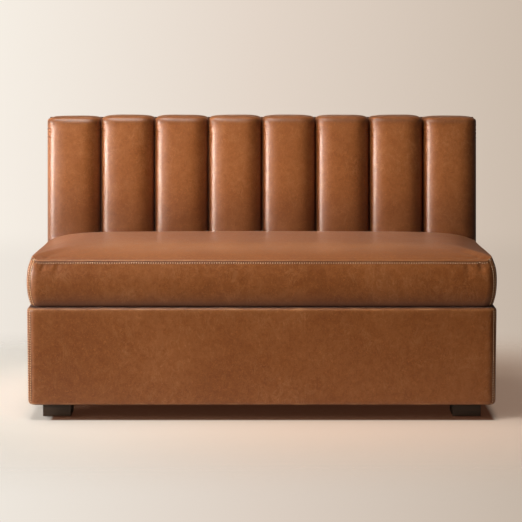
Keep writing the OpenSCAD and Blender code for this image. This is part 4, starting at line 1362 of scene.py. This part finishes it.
class BANQUETTE_OT_back_covers(bpy.types.Operator):
    """Covers the sides and the outside of the back"""
    bl_idname = "banquette.back_covers"
    bl_label = "Back covers"

    def execute(self, context):
        sizes, hide = context.scene.banquette_back, context.scene.banquette_leather
        self.side(sizes, -1, "left")
        self.side(sizes, 1, "right")
        self.outside(hide)
        return {"FINISHED"}

    @staticmethod
    def side(sizes, sign, which):
        """A padded end: its leather puffs up within a few millimetres of its edge."""
        low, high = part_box(f"back_leather_{which}")
        gap, wide, round_edge = 0.0004, 0.09, 0.0045
        steps = (0, 0.0008, 0.002, 0.004, 0.007, 0.011, 0.017)
        shares = tuple(a / wide for a in steps)
        up, over = spread(high.z - low.z, steps, steps, 0.011), spread(1.0, shares, shares, 0.09)
        panel, column, row = new_grid(f"back_side_cover_{which}", len(over) - 1, len(up) - 1)
        z = low.z + up[row]
        first = front_line(z, sizes.recline) + sizes.depth / math.cos(sizes.recline) + gap
        y = first + over[column] * (high.y - gap - first)
        edge = np.minimum(np.minimum(y - first, high.y - gap - y),
                          np.minimum(z - low.z, high.z - z))
        inner, outer = FRAME_X + 0.0006, HALF_W - 0.0008
        puff = np.maximum(0, 1 - np.clip(1 - edge / round_edge, 0, 1) ** 2.4) ** 0.4
        wave = 0.0006 * base_wave(3 * y, z, 1.3 * z) * np.clip(edge / 0.03, 0, 1)
        x = inner + (outer - inner) * puff - np.abs(wave)
        put_points(panel, np.stack([sign * x, y, z], 1))
        give_attribute(panel, "crease", 0.5 * bell(edge, 0.0015))
        close_holes(panel)
        refine(panel, sharp=60)
        nodes = [f"back_leather_{which}"] + (["back_side_padding"] if sign > 0 else [])
        place(panel, finish("leather"), "leather", *nodes)

    @staticmethod
    def outside(hide):
        low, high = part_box("back_leather_rear")
        steps = (0, 0.0010, 0.0024, 0.0042, 0.0070, 0.012, 0.020)
        xs = spread(high.x - low.x, steps, steps, 0.022)
        zs = spread(high.z - low.z, steps, steps, 0.022)
        panel, column, row = new_grid("back_outside_cover", len(xs) - 1, len(zs) - 1)
        x, z = low.x + xs[column], low.z + zs[row]
        edge = np.minimum(np.minimum(x - low.x, high.x - x), np.minimum(z - low.z, high.z - z))
        radius = high.y - low.y
        curve = np.sqrt(1 - np.clip(1 - edge / radius, 0, 1) ** 2)
        run = np.where(high.z - z < x - low.x, x, z)
        wave = 0.0005 * (1 + base_wave(x, 0 * x, z)) * np.clip(edge / 0.05, 0, 1)
        wave += 0.0004 * (1 + ripple(run, 6.0)) * near(edge, 0.03, 0.02)
        put_points(panel, np.stack([x, low.y + radius * curve - wave, z], 1))
        give_attribute(panel, "crease", 0.6 * bell(edge, 0.0012))
        give_attribute(panel, "crest", 0.6 * bell(edge, 0.003, 0.004))
        with editing(panel):
            bpy.ops.mesh.flip_normals()
        refine(panel, hide.thickness)
        place(panel, finish("leather"), "leather", "back_leather_rear")


# ---- frame finishes ----

class BANQUETTE_OT_frame(bpy.types.Operator):
    """Gives the inner frame its woods and metals"""
    bl_idname = "banquette.frame"
    bl_label = "Frame finishes"

    def execute(self, context):
        for name, (slot, *nodes) in KEPT.items():
            for node in nodes:
                obj = frame["nodes"][node]
                materials = obj.data.materials
                if not materials:
                    materials.append(None)
                for k in range(len(materials)):
                    materials[k] = finish(name)
        return {"FINISHED"}


# ---- stage ----

CAMERA_AT, CAMERA_DOWN = (0, -5.461, 1.164), math.radians(5.482)

# Each lamp's place, target, size, colour and spread in degrees
LAMPS = {
    "key": ((-4.4, -1.35, 1.95), (-0.3, 0.1, 0.85), (1.6, 1.3), (1.0, 0.98, 0.955), 52),
    "rim": ((-4.2, -1.15, 1.02), (-0.1, 0.2, 0.68), (1.3, 0.35), (1.0, 0.97, 0.94), 40),
    "front": ((-2.7, -3.3, 1.35), (-0.4, 0.0, 0.55), (1.6, 1.2), (1.0, 0.97, 0.93), 70),
    "fill": ((-0.7, -0.45, 2.5), (-0.1, -0.1, 0.45), (1.6, 0.7), (1.0, 0.95, 0.89), 110),
}
ROOM_LIGHT = (1.0, 0.91, 0.80)
# Tone of the floor's spots, and the warm colours of the painted glow on the right and under the
# plinth
FLOOR_SPOTS, GLOW_RIGHT, GLOW_UNDER = (0.3, 0.25, 0.2), (0.92, 0.60, 0.43), (0.90, 0.32, 0.16)


class BANQUETTE_OT_stage(bpy.types.Operator):
    """Sets up the camera, the lamps, the floor and the backdrop"""
    bl_idname = "banquette.stage"
    bl_label = "Stage"

    def execute(self, context):
        look = context.scene.banquette_stage
        context.scene.view_settings.view_transform = "Standard"
        self.camera(context, look)
        self.room(context, look)
        self.floor(look)
        for name, lamp in LAMPS.items():
            self.lamp(context, name, getattr(look, name), *lamp)
        return {"FINISHED"}

    @staticmethod
    def camera(context, look):
        data = bpy.data.cameras.new("camera")
        camera = bpy.data.objects.new("camera", data)
        context.scene.collection.objects.link(camera)
        data.lens, data.sensor_width = look.lens, 36
        data.shift_x, data.shift_y = -0.0016, -0.15
        data.clip_start, data.clip_end = 0.05, 60
        camera.location = CAMERA_AT
        camera.rotation_euler = (math.pi / 2 - CAMERA_DOWN, 0, 0)
        context.scene.camera = camera

    @staticmethod
    def lamp(context, name, power, at, to, size, colour, angle):
        data = bpy.data.lights.new(name, "AREA")
        data.shape, data.size, data.size_y = "RECTANGLE", *size
        data.energy, data.color, data.spread = power, colour, math.radians(angle)
        lamp = bpy.data.objects.new(name, data)
        context.scene.collection.objects.link(lamp)
        lamp.location = at
        lamp.rotation_euler = (Vector(to) - Vector(at)).to_track_quat("-Z", "Y").to_euler()

    @staticmethod
    def room(context, look):
        """The backdrop that the camera sees, painted paler on the left, darker to the right and a
        little darker below the horizon, as light falling from the left; and the room's light,
        stronger from the left.
        """
        world = bpy.data.worlds.new("room")
        context.scene.world = world
        world.use_nodes = True
        world.node_tree.nodes.clear()
        n = Nodes(world.node_tree, "Generated")
        x, _, z = n.put(n.add("SeparateXYZ"), n.where).outputs
        across = n.limit(x, -0.15, 0.15, course="LINEAR")
        # Painted light on the backdrop: paler on the left, darker to the right, and a little darker
        # below the horizon
        backdrop = n.ramp(across, (0, look.left), (0.5, look.middle), (1, look.right))
        backdrop = n.mix(1, backdrop, n.limit(z, -0.138, -0.118, 0.93, 1.0), "MULTIPLY")
        seen = n.put(n.add("Background"), backdrop)
        light = n.put(n.add("Background"), ROOM_LIGHT,
                      n.limit(x, -0.95, -0.25, look.window, look.ambient))
        ray = n.add("LightPath").outputs
        looked_at = n.math("MAXIMUM", ray["Is Camera Ray"], ray["Is Transmission Ray"])
        both = n.put(n.add("MixShader"), looked_at, light.outputs[0], seen.outputs[0])
        n.put(n.add("OutputWorld"), both.outputs[0])

    @staticmethod
    def floor(look):
        """A pale floor round the object that fades into the backdrop, painted paler on the left and
        darker on the right. A painted glow that only the camera sees pales it and its shadow, and a
        painted shadow with a warm glow lies under the plinth."""
        only(None)
        bpy.ops.mesh.primitive_grid_add(x_subdivisions=24, y_subdivisions=24, size=16)
        floor = bpy.context.object
        floor.name = "floor"
        f = Finish("pale floor", Specular_IOR_Level=0.15)
        fine = f.noise(45, 3, 0.5)
        tone = f.sum((f.noise(1.4, 3, 0.5), 0.7), (fine, 0.3))
        x, y, _ = f.put(f.add("SeparateXYZ"), f.where).outputs
        across = f.limit(x, -1.0, 0.25)

        def distance_from(middle, half_x, half_y):
            """Distance of the floor from a rectangle under the object."""
            past = []
            for at, centre, half in ((x, middle, half_x), (y, 0.0, half_y)):
                far = f.math("ABSOLUTE", f.math("SUBTRACT", at, centre))
                past.append(f.math("MAXIMUM", f.math("SUBTRACT", far, half), 0.0))
            away = f.put(f.add("CombineXYZ"), *past).outputs[0]
            return f.put(f.add("VectorMath", operation="LENGTH"), away).outputs["Value"]

        reach = distance_from(0.0, HALF_W, HALF_D)
        shade = distance_from(0.03, HALF_W - 0.042, HALF_D - 0.012)
        outside = f.limit(shade, 0.0, 0.012)
        # Painted light: paler on the left, darker to the right
        colour = f.mix(across, look.floor_left, look.floor_right)
        colour = f.mix(f.limit(tone, 0.3, 0.7, 0.06, 0.0), colour, FLOOR_SPOTS)
        # Painted shadow under the plinth
        colour = f.mix(outside, look.painted_shadow_under, colour)
        f.done(colour, f.limit(fine, 0.3, 0.7, 0.62, 0.72), f.relief(fine, 0.0004, 0.1))
        # A painted glow that only the camera sees, warm under the plinth and on the right
        seen = f.add("LightPath").outputs["Is Camera Ray"]
        glow = f.math("MULTIPLY", f.limit(shade, 0.0, 0.03, 0.04, look.painted_glow), seen)
        pale = f.mix(outside, GLOW_UNDER, f.mix(across, look.floor_left, GLOW_RIGHT))
        painted_glow = f.put(f.add("Emission"), pale, glow)
        below = f.add("NewGeometry").outputs["Backfacing"]
        clear = f.math("MAXIMUM", f.limit(reach, 0.08, 0.85), below)
        lit = f.put(f.add("AddShader"), f.shader.outputs[0], painted_glow.outputs[0])
        glass = f.add("BsdfTransparent")
        blend = f.put(f.add("MixShader"), clear, lit.outputs[0], glass.outputs[0])
        f.put(f.tree.nodes["Material Output"], blend.outputs[0])
        floor.data.materials.append(f.material)


# ---- panel and run ----

SETTINGS = {
    "banquette_seat": BanquetteSeat,
    "banquette_back": BanquetteBack,
    "banquette_base": BanquetteBase,
    "banquette_leather": BanquetteLeather,
    "banquette_stage": BanquetteStage,
}
OPERATORS = (BANQUETTE_OT_stage, BANQUETTE_OT_base, BANQUETTE_OT_feet, BANQUETTE_OT_dust_cover,
             BANQUETTE_OT_seat, BANQUETTE_OT_channels, BANQUETTE_OT_back_covers, BANQUETTE_OT_frame)


class BANQUETTE_PT_panel(bpy.types.Panel):
    """Sizes, colours and steps of the banquette"""
    bl_idname = "BANQUETTE_PT_panel"
    bl_label = "Banquette"
    bl_space_type = "VIEW_3D"
    bl_region_type = "UI"
    bl_category = "Banquette"

    def draw(self, context):
        for key, group in SETTINGS.items():
            box = self.layout.box()
            for name in group.__annotations__:
                box.prop(getattr(context.scene, key), name)
        for operator in OPERATORS:
            self.layout.operator(operator.bl_idname)


def register():
    for group in SETTINGS.values():
        bpy.utils.register_class(group)
    for key, group in SETTINGS.items():
        setattr(bpy.types.Scene, key, PointerProperty(type=group))
    for operator in OPERATORS:
        bpy.utils.register_class(operator)
    bpy.utils.register_class(BANQUETTE_PT_panel)


def unregister():
    bpy.utils.unregister_class(BANQUETTE_PT_panel)
    for operator in reversed(OPERATORS):
        bpy.utils.unregister_class(operator)
    for key, group in SETTINGS.items():
        delattr(bpy.types.Scene, key)
        bpy.utils.unregister_class(group)


def main():
    register()
    bpy.ops.banquette.stage()
    bpy.ops.banquette.base()
    bpy.ops.banquette.feet()
    bpy.ops.banquette.dust_cover()
    bpy.ops.banquette.seat()
    bpy.ops.banquette.channels()
    bpy.ops.banquette.back_covers()
    bpy.ops.banquette.frame()
    only(None)


if __name__ == "__main__":
    main()
